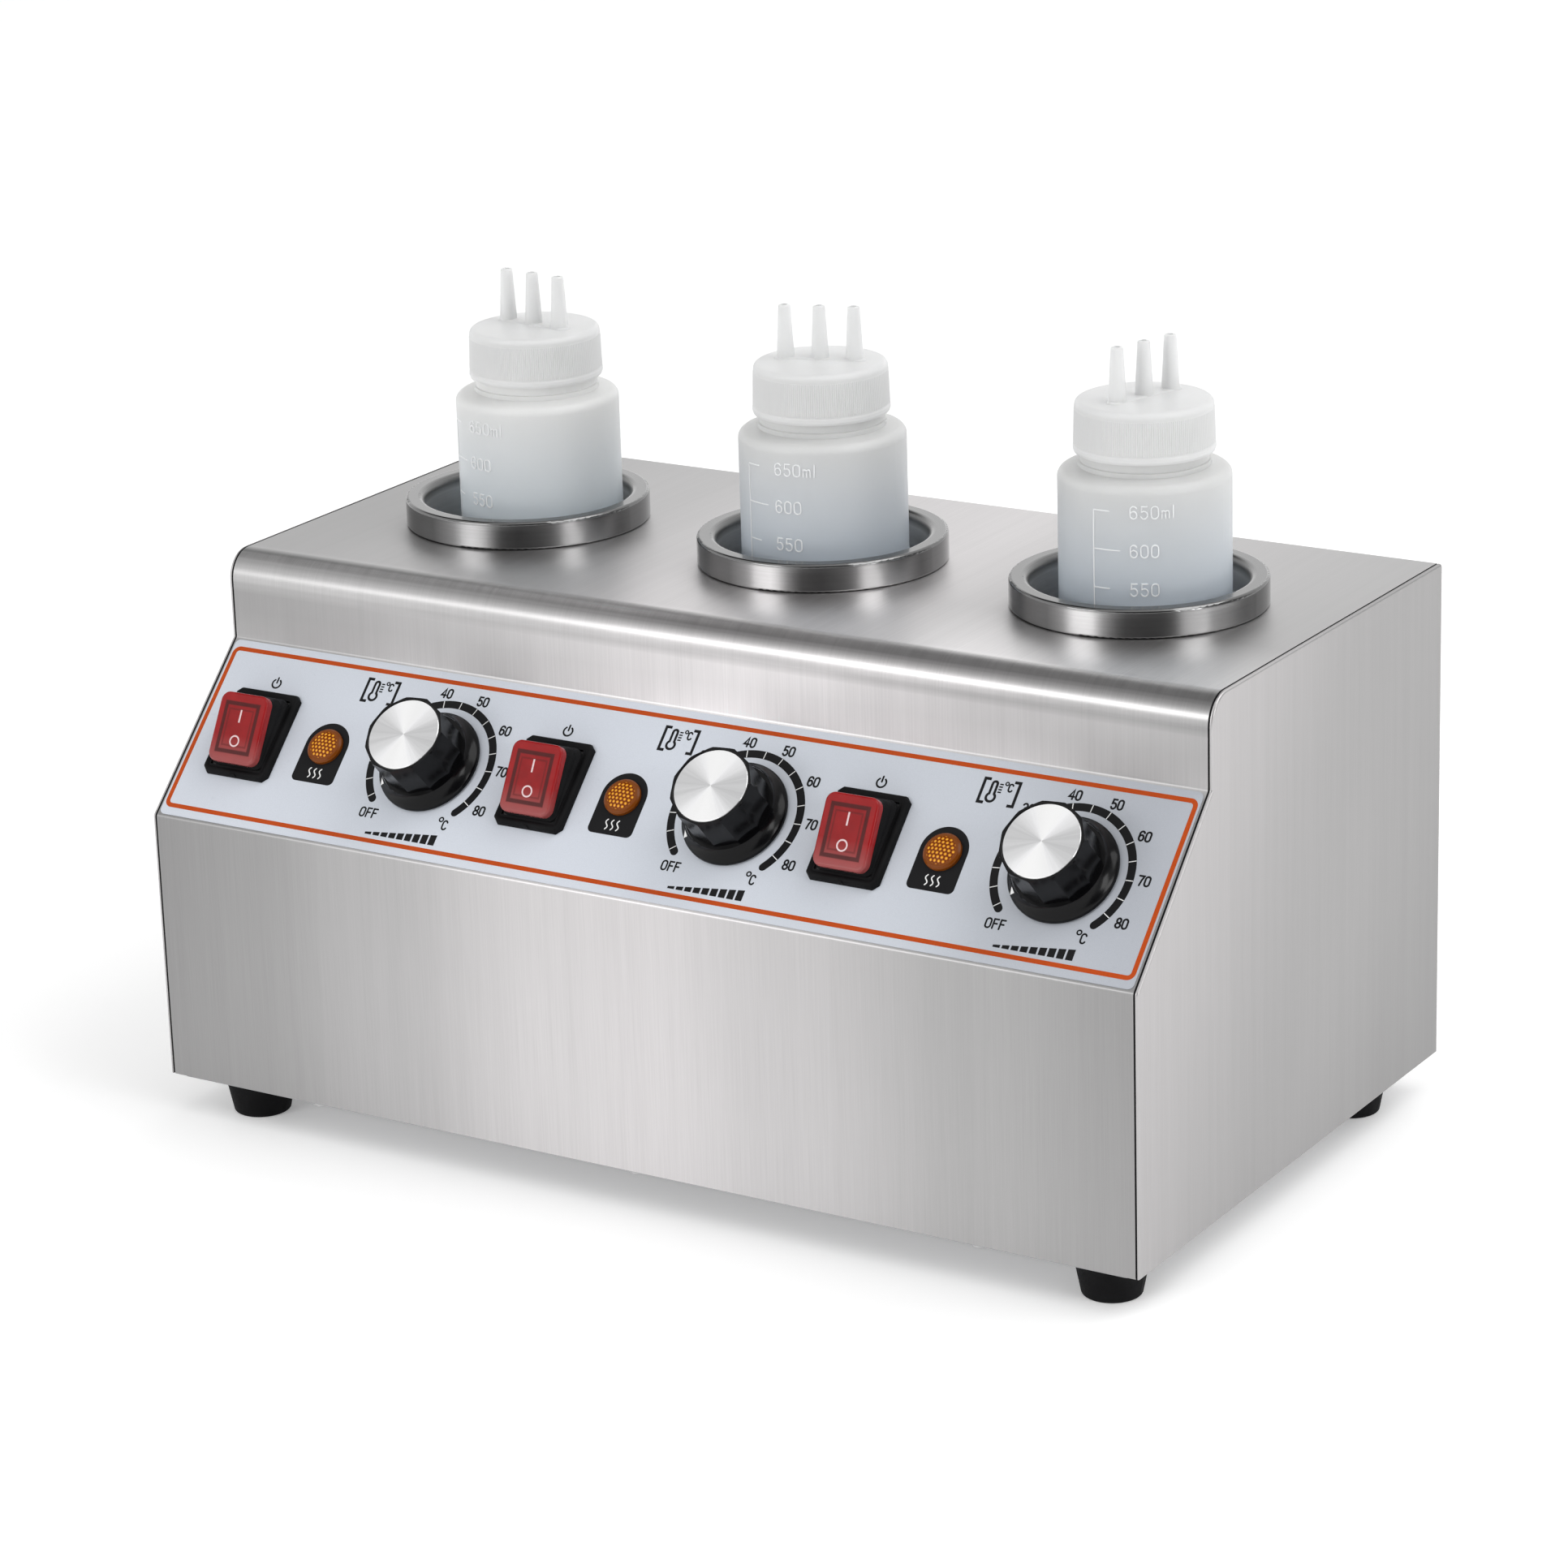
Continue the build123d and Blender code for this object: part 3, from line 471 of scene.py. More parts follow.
def well_metal(i):
    """Spun rim: fine turning lines round the well's own axis, with painted shade down the well and on its top, painted
    light on the inner wall and two painted highlights on the outer wall.
    """
    m = Mat(f"spun_rim_{i + 1}", (0.30, 0.30, 0.30), 1.0, 0.17, Anisotropic=0.35)
    c = case(WELL_X[i], WELL_Y, 0)
    v = m.coords(offset=(-c.x, -c.y, 0))
    s = m.xyz(v)
    r = m.math("SQRT", m.math("ADD", m.math("MULTIPLY", s["X"], s["X"]), m.math("MULTIPLY", s["Y"], s["Y"])))
    ring = m.node("ShaderNodeCombineXYZ")
    m.link(m.math("MULTIPLY", r, 2600), ring.inputs[0])
    m.link(m.math("MULTIPLY", s["Z"], 1400), ring.inputs[1])
    a = m.math("ARCTAN2", s["Y"], s["X"])
    m.link(m.math("MULTIPLY", m.math("ABSOLUTE", a), 2.2), ring.inputs[2])
    fine = m.noise(1.0, 2.0, 0.5, ring.outputs[0])
    cloud = m.noise(60.0, 3.0, 0.6)
    # painted shade: darker the deeper down the well
    depth = m.map(s["Z"], 0.70, 1.0, 0.150, 0.205)
    f = m.math("MULTIPLY", m.math("ADD", m.map(fine, 0.965, 1.035, 0.3, 0.7), m.map(cloud, -0.02, 0.02, 0.3, 0.7)), depth)
    # painted light: the inner wall, below the lip, up to four times lighter
    inside = m.math("ADD", 1.0, m.math("MULTIPLY", m.map(r, 3.0, 0.0, 0.0424, 0.0450), m.map(s["Z"], 1.0, 0.0, 0.2245, 0.2275)))
    # painted shade: the top of the rim darker
    f = m.math("MULTIPLY", f, m.map(s["Z"], 1.0, 0.80, 0.2284, 0.2296))
    # two painted highlights up the outer wall, at fixed turns round the rim
    turn = m.math("MULTIPLY", a, 180 / math.pi)
    wall = m.math("MULTIPLY", m.map(r, 0.0, 1.0, 0.0482, 0.0490), m.map(s["Z"], 1.0, 0.0, 0.2280, 0.2290))
    for at, half, gain in ((-87.0, 9.0, 1.25), ((-35.0, -34.0, -27.0)[i], 12.0, 1.05)):
        off = m.math("ABSOLUTE", m.math("SUBTRACT", turn, at))
        painted_highlight = m.math("MULTIPLY", m.map(off, gain, 0.0, half * 0.45, half * 2.1), wall)
        f = m.math("MULTIPLY", f, m.math("ADD", 1.0, painted_highlight))
    m.color(m.mix(1.0, (0.21, 0.21, 0.21), grey(m, m.math("MULTIPLY", f, inside)), "MULTIPLY"))
    m.roughness(m.math("ADD", m.map(fine, 0.12, 0.17, 0.3, 0.7), m.map(r, 0.26, 0.0, 0.0422, 0.0435)))
    m.bump(fine, 0.02, 0.00003)
    t = m.node("ShaderNodeVectorMath", operation="CROSS_PRODUCT")
    m.link(v, t.inputs[0])
    t.inputs[1].default_value = (0, 0, 1)
    t2 = m.node("ShaderNodeVectorMath", operation="CROSS_PRODUCT")
    m.link(t.outputs[0], t2.inputs[0])
    t2.inputs[1].default_value = (0, 0, 1)
    m.link(t2.outputs[0], m.b.inputs["Tangent"])
    return m


def film():
    m = Mat("panel_film", (0.575, 0.607, 0.665), 0.0, 0.34)
    m.set("Specular IOR Level", 0.3)
    fine = m.noise(2600.0, 2.0, 0.6)
    spots = m.noise(330.0, 1.0, 0.4)
    dark = m.map(spots, 0.0, 1.0, 0.735, 0.80)
    col = m.mix(m.math("MULTIPLY", dark, 0.12), (0.575, 0.607, 0.665), (0.38, 0.41, 0.48))
    # painted shade: the film a little lighter at the left and middle, darker towards its right end
    along = m.map(m.xyz()["X"], 0.0, 1.0, -0.22, 0.22)
    col = m.mix(1.0, col, m.ramp(along, [(0.0, (1.06, 1.06, 1.06)), (0.5, (1.10, 1.10, 1.10)), (0.72, (1.0, 1.0, 0.995)), (1.0, (0.76, 0.755, 0.755))], "EASE"), "MULTIPLY")
    m.color(m.mix(1.0, col, grey(m, m.map(fine, 0.97, 1.03, 0.3, 0.7)), "MULTIPLY"))
    m.roughness(m.map(fine, 0.30, 0.40, 0.3, 0.7))
    m.bump(fine, 0.12, 0.00004)
    return m


def ink(name, base, rough=0.55):
    m = Mat(name, base, 0.0, rough)
    m.set("Specular IOR Level", 0.12)
    fine = m.noise(1800.0, 2.0, 0.6)
    m.color(m.mix(1.0, tuple(base), grey(m, m.map(fine, 0.93, 1.07, 0.3, 0.7)), "MULTIPLY"))
    m.roughness(m.map(fine, rough - 0.06, rough + 0.06, 0.3, 0.7))
    return m


def rubber(name, base=(0.012, 0.012, 0.012), rough=0.62, scale=900.0):
    m = Mat(name, base, 0.0, rough)
    m.set("Specular IOR Level", 0.05)
    fine = m.noise(scale, 3.0, 0.6)
    cloud = m.noise(70.0, 2.0, 0.5)
    m.color(m.mix(m.map(cloud, 0.0, 1.0, 0.3, 0.75), tuple(base), tuple(b * 1.6 + 0.001 for b in base)))
    m.roughness(m.map(fine, rough - 0.1, rough + 0.1, 0.3, 0.7))
    m.bump(fine, 0.18, 0.00006)
    return m


def moulded(name, base, rough=0.3, **more):
    m = Mat(name, base, 0.0, rough, **more)
    fine = m.noise(420.0, 2.0, 0.5)
    cloud = m.noise(55.0, 2.0, 0.5)
    m.color(m.mix(1.0, tuple(base), grey(m, m.map(cloud, 0.95, 1.05, 0.3, 0.7)), "MULTIPLY"))
    m.roughness(m.map(fine, rough - 0.04, rough + 0.04, 0.3, 0.7))
    m.bump(fine, 0.05, 0.00008)
    return m


def milky(name, base, trans, rough, depth, painted_low_shade=None, soft=0.0):
    """Translucent blow-moulded polyethylene."""
    m = Mat(name, base, 0.0, rough)
    m.set("Transmission Weight", trans)
    m.set("IOR", 1.35)
    if soft:
        m.set("Subsurface Weight", soft)
        m.set("Subsurface Radius", (depth, depth, depth * 1.06))
        m.set("Subsurface Scale", 1.0)
    m.set("Specular IOR Level", 0.45)
    cloud = m.noise(26.0, 2.0, 0.5)
    fine = m.noise(700.0, 2.0, 0.5)
    col = m.mix(1.0, tuple(base), grey(m, m.map(cloud, 0.965, 1.03, 0.3, 0.7)), "MULTIPLY")
    # painted shade: the wall mixed towards a darker, cooler colour below a height
    if painted_low_shade:
        z = m.xyz()["Z"]
        col = m.mix(m.map(z, 0.82, 0.0, painted_low_shade[0], painted_low_shade[1]), col, painted_low_shade[2])
    m.color(col)
    m.roughness(m.map(fine, rough - 0.04, rough + 0.04, 0.3, 0.7))
    m.bump(m.noise(120.0, 2.0, 0.5), 0.06, 0.0003)
    return m


def bottle_wall(i):
    """Each bottle's polyethylene, lighter or darker from bottle to bottle, partly its own batch and partly painted
    light, with painted shade, darker and cooler, towards the bottom.
    """
    wall, shaded = (((0.96, 0.962, 0.952), (0.83, 0.915, 0.985)), ((0.86, 0.863, 0.856), (0.71, 0.79, 0.88)), ((0.84, 0.843, 0.836), (0.70, 0.782, 0.872)))[i]
    return milky(f"bottle_milky_{i + 1}", wall, 0.32, 0.35, 0.0022, (0.229, 0.272, shaded), 0.25)


def spun_disc(i):
    """Aluminium face turned round the dial's axis, with a painted highlight fanning across it."""
    m = Mat(f"spun_disc_{i + 1}", (0.82, 0.82, 0.835), 1.0, 0.30, Anisotropic=0.85)
    c = at_panel(DIAL_X[i], DIAL_V, 24)
    v = m.coords(offset=tuple(-x for x in c))
    # the tangent points away from the axis
    m.link(v, m.b.inputs["Tangent"])
    ln = m.node("ShaderNodeVectorMath", operation="LENGTH")
    m.link(v, ln.inputs[0])
    line = m.node("ShaderNodeCombineXYZ")
    m.link(m.math("MULTIPLY", ln.outputs["Value"], 5200), line.inputs[0])
    fine = m.noise(1.0, 2.0, 0.6, line.outputs[0])
    flat = m.node("ShaderNodeVectorRotate", rotation_type="X_AXIS")
    flat.inputs["Angle"].default_value = math.radians(-45)
    m.link(v, flat.inputs["Vector"])
    s = m.xyz(flat.outputs["Vector"])
    turn = m.math("ARCTAN2", s["X"], s["Y"])
    # painted highlight: two bright wedges across the face, either side of the axis
    painted_fan = m.math("COSINE", m.math("MULTIPLY", m.math("ADD", turn, 0.10), 2.0))
    fold = m.node("ShaderNodeCombineXYZ")
    m.link(m.math("SINE", turn), fold.inputs[0])
    m.link(m.math("COSINE", turn), fold.inputs[1])
    ray = m.noise(5.0, 3.0, 0.6, fold.outputs[0])
    tone = m.math("ADD", m.map(painted_fan, 0.64, 1.20, -0.8, 1.0), m.map(ray, -0.05, 0.05, 0.3, 0.7))
    tone = m.math("MULTIPLY", tone, m.map(fine, 0.93, 1.03, 0.3, 0.7))
    m.color(m.mix(1.0, (0.94, 0.94, 0.95), grey(m, tone), "MULTIPLY"))
    m.roughness(m.map(fine, 0.19, 0.25, 0.3, 0.7))
    m.bump(fine, 0.05, 0.00004)
    return m


def lens_amber(i):
    m = Mat(f"amber_lens_{i + 1}", (0.80, 0.25, 0.01), 0.0, 0.22)
    m.set("Transmission Weight", 0.1)
    m.set("Specular IOR Level", 0.14)
    c = at_panel(DIAL_X[i] + LAMP_DX, LAMP_V, 2)
    v = m.coords(offset=tuple(-x for x in c))
    rot = m.node("ShaderNodeVectorRotate", rotation_type="X_AXIS")
    rot.inputs["Angle"].default_value = math.radians(-45)
    m.link(v, rot.inputs["Vector"])
    s = m.xyz(rot.outputs["Vector"])
    r = m.math("SQRT", m.math("ADD", m.math("MULTIPLY", s["X"], s["X"]), m.math("MULTIPLY", s["Y"], s["Y"])))
    face = m.map(r, 1.0, 0.0, 0.0054, 0.0059)
    k = 2 * math.pi / 0.00150
    ys = m.math("MULTIPLY", s["Y"], k)
    xs = m.math("MULTIPLY", s["X"], k * 0.866)
    half = m.math("MULTIPLY", ys, 0.5)
    w = m.math("COSINE", ys)
    w = m.math("ADD", w, m.math("COSINE", m.math("ADD", xs, half)))
    w = m.math("ADD", w, m.math("COSINE", m.math("SUBTRACT", xs, half)))
    dots = m.map(w, 0.0, 1.0, -1.2, 2.0)
    body = m.ramp(dots, [(0.0, (0.15, 0.028, 0.001)), (0.45, (0.55, 0.135, 0.003)), (1.0, (1.0, 0.50, 0.04))])
    m.color(m.mix(face, (0.22, 0.055, 0.004), body))
    m.bump(m.math("MULTIPLY", w, face), 0.35, 0.0001)
    return m


MATS = {
    "overlay": film(),
    "orange": ink("ink_orange", (0.48, 0.067, 0.008)),
    "black": ink("ink_black", (0.010, 0.010, 0.011)),
    "white": ink("ink_white", (0.86, 0.86, 0.85)),
    "rubber": rubber("foot_rubber_black", (0.007, 0.007, 0.0075)),
    "boot": rubber("boot_rubber_black", (0.007, 0.007, 0.0075), 0.5, 1300.0),
    "screw": moulded("plated_screw", (0.55, 0.55, 0.55), 0.34, Metallic=1.0),
    "bracket": moulded("zinc_plate", (0.58, 0.58, 0.56), 0.38, Metallic=1.0),
    "nylon": moulded("black_nylon", (0.02, 0.02, 0.021), 0.45),
    "terminal": moulded("white_nylon", (0.78, 0.77, 0.71), 0.5),
    "fabric": moulded("glass_sleeve", (0.72, 0.70, 0.64), 0.85),
    "wire": moulded("silicone_wire", (0.60, 0.56, 0.50), 0.5),
    "heater": moulded("heater_mat", (0.48, 0.10, 0.04), 0.55),
    "thermostat": moulded("thermostat_plate", (0.60, 0.57, 0.50), 0.34, Metallic=1.0),
    "knob": moulded("knob_gloss_black", (0.003, 0.003, 0.0035), 0.17, Specular_IOR_Level=0.17),
    "cap": milky("cap_milky", (0.95, 0.955, 0.955), 0.32, 0.35, 0.0022, None, 0.25),
    "mark": moulded("bottle_marks", (0.89, 0.90, 0.91), 0.38),
    "rocker_mark": ink("ink_rose", (0.76, 0.58, 0.59)),
    "red_core": moulded("rocker_core_red", (0.20, 0.010, 0.010), 0.4),
    "red_block": moulded("rocker_block_red", (0.60, 0.03, 0.03), 0.45),
}


def red_cap(i):
    """Clear red cap: the carrier's dark frame and a duller plate show through its face."""
    m = Mat(f"rocker_cap_red_{i + 1}", (0.50, 0.012, 0.014), 0.0, 0.2)
    m.set("Transmission Weight", 0.25)
    m.set("IOR", 1.42)
    m.set("Specular IOR Level", 0.24)
    c = at_panel(DIAL_X[i] + SWITCH_DX, SWITCH_V, PIVOT_W)
    v = m.coords(offset=tuple(-x for x in c))
    turn = m.node("ShaderNodeVectorRotate", rotation_type="X_AXIS")
    turn.inputs["Angle"].default_value = -(math.radians(45) + TILT)
    m.link(v, turn.inputs["Vector"])
    q = m.xyz(turn.outputs["Vector"])
    ax = m.math("ABSOLUTE", q["X"])
    ay = m.math("ABSOLUTE", q["Y"])

    def frame_line(w, h, half, soft):
        """1 on the outline of a w by h rectangle, in millimetres."""
        d = m.math("MAXIMUM", m.math("SUBTRACT", ax, w / 2000), m.math("SUBTRACT", ay, h / 2000))
        return m.map(m.math("ABSOLUTE", d), 1.0, 0.0, half / 1000, (half + soft) / 1000), d

    cloud = m.map(m.noise(160.0, 2.0, 0.5), 0.0, 1.0, 0.3, 0.7)
    bright = m.mix(cloud, (0.35, 0.011, 0.013), (0.42, 0.015, 0.017))
    plate = m.mix(cloud, (0.30, 0.009, 0.011), (0.37, 0.012, 0.014))
    outer, d0 = frame_line(15.3, 19.3, 0.60, 0.42)
    inner, d1 = frame_line(11.4, 14.6, 0.14, 0.40)
    col = m.mix(m.map(d0, 1.0, 0.0, -0.0003, 0.0003), bright, plate)
    # painted sheen: paler towards the lower end of the face
    pale = m.map(q["Y"], 0.48, 0.0, -0.0125, -0.0030)
    col = m.mix(pale, col, (0.44, 0.18, 0.175))
    face = m.map(q["Z"], 0.0, 1.0, 0.0085, 0.0092)
    col = m.mix(m.math("MULTIPLY", m.math("MULTIPLY", outer, 0.86), face), col, (0.06, 0.008, 0.008))
    col = m.mix(m.math("MULTIPLY", m.math("MULTIPLY", inner, 0.5), face), col, (0.10, 0.008, 0.008))
    m.color(col)
    m.roughness(m.map(m.noise(500.0, 2.0, 0.5), 0.15, 0.23, 0.3, 0.7))
    m.bump(m.noise(300.0, 2.0, 0.5), 0.05, 0.0001)
    return m


BY_NODE = {
    "front_top_shell": mat_shell, "left_side_panel": mat_side, "right_side_panel": mat_side, "rear_panel": mat_rear, "base_plate": mat_base,
    "control_overlay": MATS["overlay"], "feet": MATS["rubber"], "foot_fasteners": MATS["screw"], "base_screws": MATS["screw"],
    "rear_screws": MATS["screw"], "earth_stud": MATS["screw"], "cable_gland": MATS["nylon"], "gland_nut": MATS["nylon"],
    "terminal_block": MATS["terminal"], "well_retaining_rings": MATS["bracket"], "spindle_nuts": MATS["bracket"],
    "insulation_sleeves": MATS["fabric"], "wiring_harness": MATS["wire"],
}
for i in range(3):
    n = i + 1
    BY_NODE.update({
        f"well_{n}": well_metal(i), f"heater_band_{n}": MATS["heater"], f"thermostat_{n}": MATS["thermostat"], f"spindle_{n}": MATS["screw"],
        f"switch_housing_{n}": MATS["nylon"], f"switch_boot_{n}": MATS["boot"], f"lamp_body_{n}": MATS["nylon"], f"lamp_lens_{n}": lens_amber(i),
        f"bottle_{n}": bottle_wall(i), f"bottle_cap_{n}": MATS["cap"], f"knob_{n}": MATS["knob"], f"knob_cap_{n}": spun_disc(i),
        f"rocker_core_{n}": MATS["red_core"], f"rocker_cap_{n}": red_cap(i),
    })
for name, o in NODES.items():
    m = BY_NODE[name]
    if o.material_slots:
        for s in o.material_slots:
            s.link = "OBJECT"
            s.material = m.m
    else:
        o.data.materials.append(m.m)


def seat(o, body):
    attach(o, body)
    return o


# ------------------------------------------------------------------ print on the sloped panel
def panel_place(u0, v0):
    return lambda x, y, z: at_panel(u0 + x, v0 + y, z)


INK0, INK1, INK2 = FILM - 0.04, FILM + 0.035, FILM + 0.065
PRINT_DX = (0.25, 0.0, -0.58)          # how far each dial's print stands off its own axis

b = Build()
b.ribbon([Vector(p) for p in rrect(431.2, 71.7, 2.3, 6, 0, 41.25)], 1.85, panel_place(0, 0), INK0, INK1, closed=True)
seat(b.make("print_frame_line", MATS["orange"].m, False), "cabinet")


BELL = [(21.5, 1.9), (21.38, 2.35), (21.0, 2.9), (20.3, 3.6), (19.5, 4.4), (18.8, 5.3), (18.25, 6.2), (17.95, 6.95), (17.6, 8.2), (17.3, 10.0), (17.05, 13.0), (16.85, 17.0), (16.7, 24.0)]


def bell_radius(z):
    """Radius of the knob's bell at that height over the film, mm."""
    for (r0, z0), (r1, z1) in zip(BELL, BELL[1:]):
        if z <= z1:
            return r0 + (r1 - r0) * (z - z0) / (z1 - z0)
    return BELL[-1][0]


def bell_height(r):
    for (r0, z0), (r1, z1) in zip(BELL, BELL[1:]):
        if r >= r1:
            return z0 + (z1 - z0) * (r - r0) / (r1 - r0)
    return BELL[-1][1]


def clock(a, r):
    """Point at clockwise-from-top angle a and radius r."""
    return Vector((r * math.sin(math.radians(a)), r * math.cos(math.radians(a))))


for i in range(3):
    n = i + 1
    u = DIAL_X[i]
    blk, wht = Build(), Build()
    pu = u + PRINT_DX[i]
    dial = panel_place(pu, DIAL_V)
    ring = panel_place(pu, DIAL_V - 0.55)
    blk.ribbon([clock(a, 26.62) for a in [-133 + 266 * k / 72 for k in range(73)]], 3.2, ring, INK0, INK1)
    for k in range(16):
        a = 120.8 - 16.64 * k
        wht.ribbon([clock(a, 25.1), clock(a, 26.6), clock(a, 28.1)], 0.34, ring, FILM - 0.02, INK2, caps=False)
    for text, a, r, dx, dy in (("80", 120.8, 33.6, 0.88, 1.0), ("70", 87.3, 32.6, -0.3, -0.15), ("60", 54.0, 32.4, 0.15, -0.45), ("50", 20.5, 31.6, 0.2, -0.4), ("40", -12.5, 31.4, 0.48, -0.3), ("30", -46.0, 32.0, 0.3, -0.3)):
        p = clock(a, r)
        words(blk, text, 3.75, 0.76, dial, INK0, INK1, p.x + dx, p.y + dy, gap=0.21)
    words(blk, "OFF", 3.75, 0.70, dial, INK0, INK1, -18.5, -24.8, gap=0.28)
    words(blk, "C", 3.75, 0.70, dial, INK0, INK1, 17.4, -24.5)
    blk.ribbon([Vector(p) for p in arc(15.0, -22.4, 0.88, 0, 337.5, 15)], 0.60, dial, INK0, INK1, closed=True)
    # a wedge that grows from cool to hot
    wedge = [(-16.3, -33.0), (16.3, -33.7), (16.3, -29.1), (-16.3, -32.1)]
    for k in range(9):
        x0, x1 = -16.3 + 3.7 * k, -16.3 + 3.7 * k + 2.9
        h0, h1 = 0.9 + 3.7 * k / 9, 0.9 + 3.7 * (k + 0.8) / 9
        blk.prism([(x0, -33.7), (x1, -33.7), (x1, -33.7 + h1), (x0, -33.7 + h0)], dial, INK0, INK1)
    # thermometer between brackets
    ic = panel_place(pu - 36.6, 68.2)
    for s in (-1, 1):
        blk.ribbon([(s * 4.9, 4.85), (s * 7.3, 4.85), (s * 7.3, -4.85), (s * 4.9, -4.85)], 1.18, ic, INK0, INK1, caps=False)
    blk.ribbon([Vector(p) for p in arc(-2.75, -2.45, 1.78, 124, 416, 18)] + [Vector((-1.75, 2.7))] + [Vector(p) for p in arc(-2.75, 3.1, 1.0, 20, 160, 6)] + [Vector((-3.75, 2.7))],
               1.0, ic, INK0, INK1, closed=True)
    for y in (3.3, 2.2, 1.1, 0.0):
        blk.ribbon([(-0.75, y), (0.75, y)], 0.56, ic, INK0, INK1, caps=False)
    words(blk, "C", 3.1, 0.66, ic, INK0, INK1, 4.0, 2.4)
    blk.ribbon([Vector(p) for p in arc(2.1, 3.85, 0.66, 0, 330, 11)], 0.5, ic, INK0, INK1, closed=True)
    # power symbol over the switch
    pw = panel_place(u + SWITCH_DX, 64.7)
    blk.ribbon([clock(a, 1.95) - Vector((0, 0.25)) for a in [38 + 284 * k / 24 for k in range(25)]], 0.74, pw, INK0, INK1)
    blk.ribbon([(0, 2.35), (0, 0.1)], 0.74, pw, INK0, INK1)
    # lamp label: arch with a heat-wave symbol
    la = panel_place(u + LAMP_DX, 0)
    arch = [Vector(p) for p in arc(0, 41.6, 9.95, 0, 180, 36)] + [Vector(p) for p in arc(-9.95 + 2.3, 25.0 + 2.3, 2.3, 180, 270, 6)] + [Vector(p) for p in arc(9.95 - 2.3, 25.0 + 2.3, 2.3, 270, 360, 6)]
    blk.prism(arch, la, INK0, INK1)
    for k in (-1, 0, 1):
        wht.ribbon([(k * 2.5 + 0.62 * math.sin(math.pi * 2 * t / 12.0), 27.2 + 4.1 * t / 12.0) for t in range(13)], 0.5, la, FILM - 0.02, INK2)
    seat(blk.make(f"print_black_{n}", MATS["black"].m, False), "cabinet")
    seat(wht.make(f"print_white_{n}", MATS["white"].m, False), "cabinet")

    # moulded knob: a bell whose grip is cut by eleven flats
    place = panel_place(u, DIAL_V)
    kb = Build()
    seg = 11 * 14

    def ring_of(radius, z, flats=False):
        out = []
        for t in range(seg):
            a = 2 * math.pi * t / seg
            r = radius
            if flats:
                off = (math.degrees(a) + 4.5 + 180 / 11) % (360 / 11) - 180 / 11
                r = min(radius, (16.25 - 0.018 * (z - 7.0)) / math.cos(math.radians(off)))
            out.append(place(r * math.cos(a), r * math.sin(a), z))
        return out

    rings = [ring_of(3.05, 19.0), ring_of(3.05, 6.0), ring_of(12.6, 6.0), ring_of(12.6, 0.9), ring_of(21.3, 0.9), ring_of(21.5, 1.15)]
    rings += [ring_of(r, z) for r, z in BELL if z < 7.0]
    rings += [ring_of(bell_radius(z), z, True) for z in (7.05, 7.7, 8.5, 9.6, 11.0, 13.0, 16.0, 19.0, 22.0, 23.5)]
    rings += [ring_of(bell_radius(23.9) - 0.15, 23.85, True), ring_of(bell_radius(24.0) - 0.45, 24.0, True), ring_of(15.35, 24.0), ring_of(15.12, 23.8), ring_of(15.12, 23.26)]
    kb.loft(rings)
    o = kb.make(f"knob_shell_{n}", MATS["knob"].m, True, 24)
    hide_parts(f"knob_{n}")
    seat(o, f"dial_{n}")

    # pointer on the knob's skirt
    pt = Build()
    tip, r0 = -130.0, 19.3
    a, c, d = clock(tip - 4.3, r0), clock(tip + 4.3, r0), clock(tip, 21.25)
    ring0, ring1 = [], []
    for p, w in ((a, bell_height(r0)), (c, bell_height(r0)), (d, bell_height(21.25))):
        ring0.append(place(p.x, p.y, w - 0.9))
        ring1.append(place(p.x, p.y, w + 0.12))
    pt.loft([ring0, ring1])
    seat(pt.make(f"knob_pointer_{n}", MATS["white"].m, False), f"dial_{n}")

# ------------------------------------------------------------------ painted shade: a dark strip in the seam beside each side panel, standing in for the shade in the gap
def case_outline(d):
    """Side outline of the case moved inwards by d, as (y, z) points in mm, with its bends rounded."""
    k = d * math.sqrt(2)
    corner = [(d, d, 0.2), (d, 109.6 + d - k, 2.2), (58 + d, 109.6 + 58 + d - k, 1.4), (58 + d, 202.5 - d, 11.3 - d), (252.6 - d, 202.5 - d, 1.6), (252.6 - d, d, 0.2)]
    out = []
    n = len(corner)
    for i, (y, z, r) in enumerate(corner):
        p, a, b2 = Vector((y, z)), Vector(corner[i - 1][:2]), Vector(corner[(i + 1) % n][:2])
        d0, d1 = (a - p).normalized(), (b2 - p).normalized()
        half = d0.angle(d1) / 2
        t = r / math.tan(half)
        c = p + (d0 + d1).normalized() * (r / math.sin(half))
        s0, s1 = p + d0 * t, p + d1 * t
        steps = 10 if r > 5 else 4
        a0 = math.atan2(s0.y - c.y, s0.x - c.x)
        a1 = math.atan2(s1.y - c.y, s1.x - c.x)
        da = (a1 - a0 + math.pi) % (2 * math.pi) - math.pi
        out += [(c.x + r * math.cos(a0 + da * q / steps), c.y + r * math.sin(a0 + da * q / steps)) for q in range(steps + 1)]
    return out


for side, name in ((-1, "left"), (1, "right")):
    se = Build()
    o0, o1 = case_outline(0.16), case_outline(1.05)
    rings = [[case(side * x, y, z) for y, z in line] for line, x in ((o0, 218.03), (o0, 218.77), (o1, 218.77), (o1, 218.03))]
    se.loft(rings, cap=False, closed_path=True)
    seat(se.make(f"seam_shade_strip_{name}", MATS["boot"].m, True, 40), "cabinet")

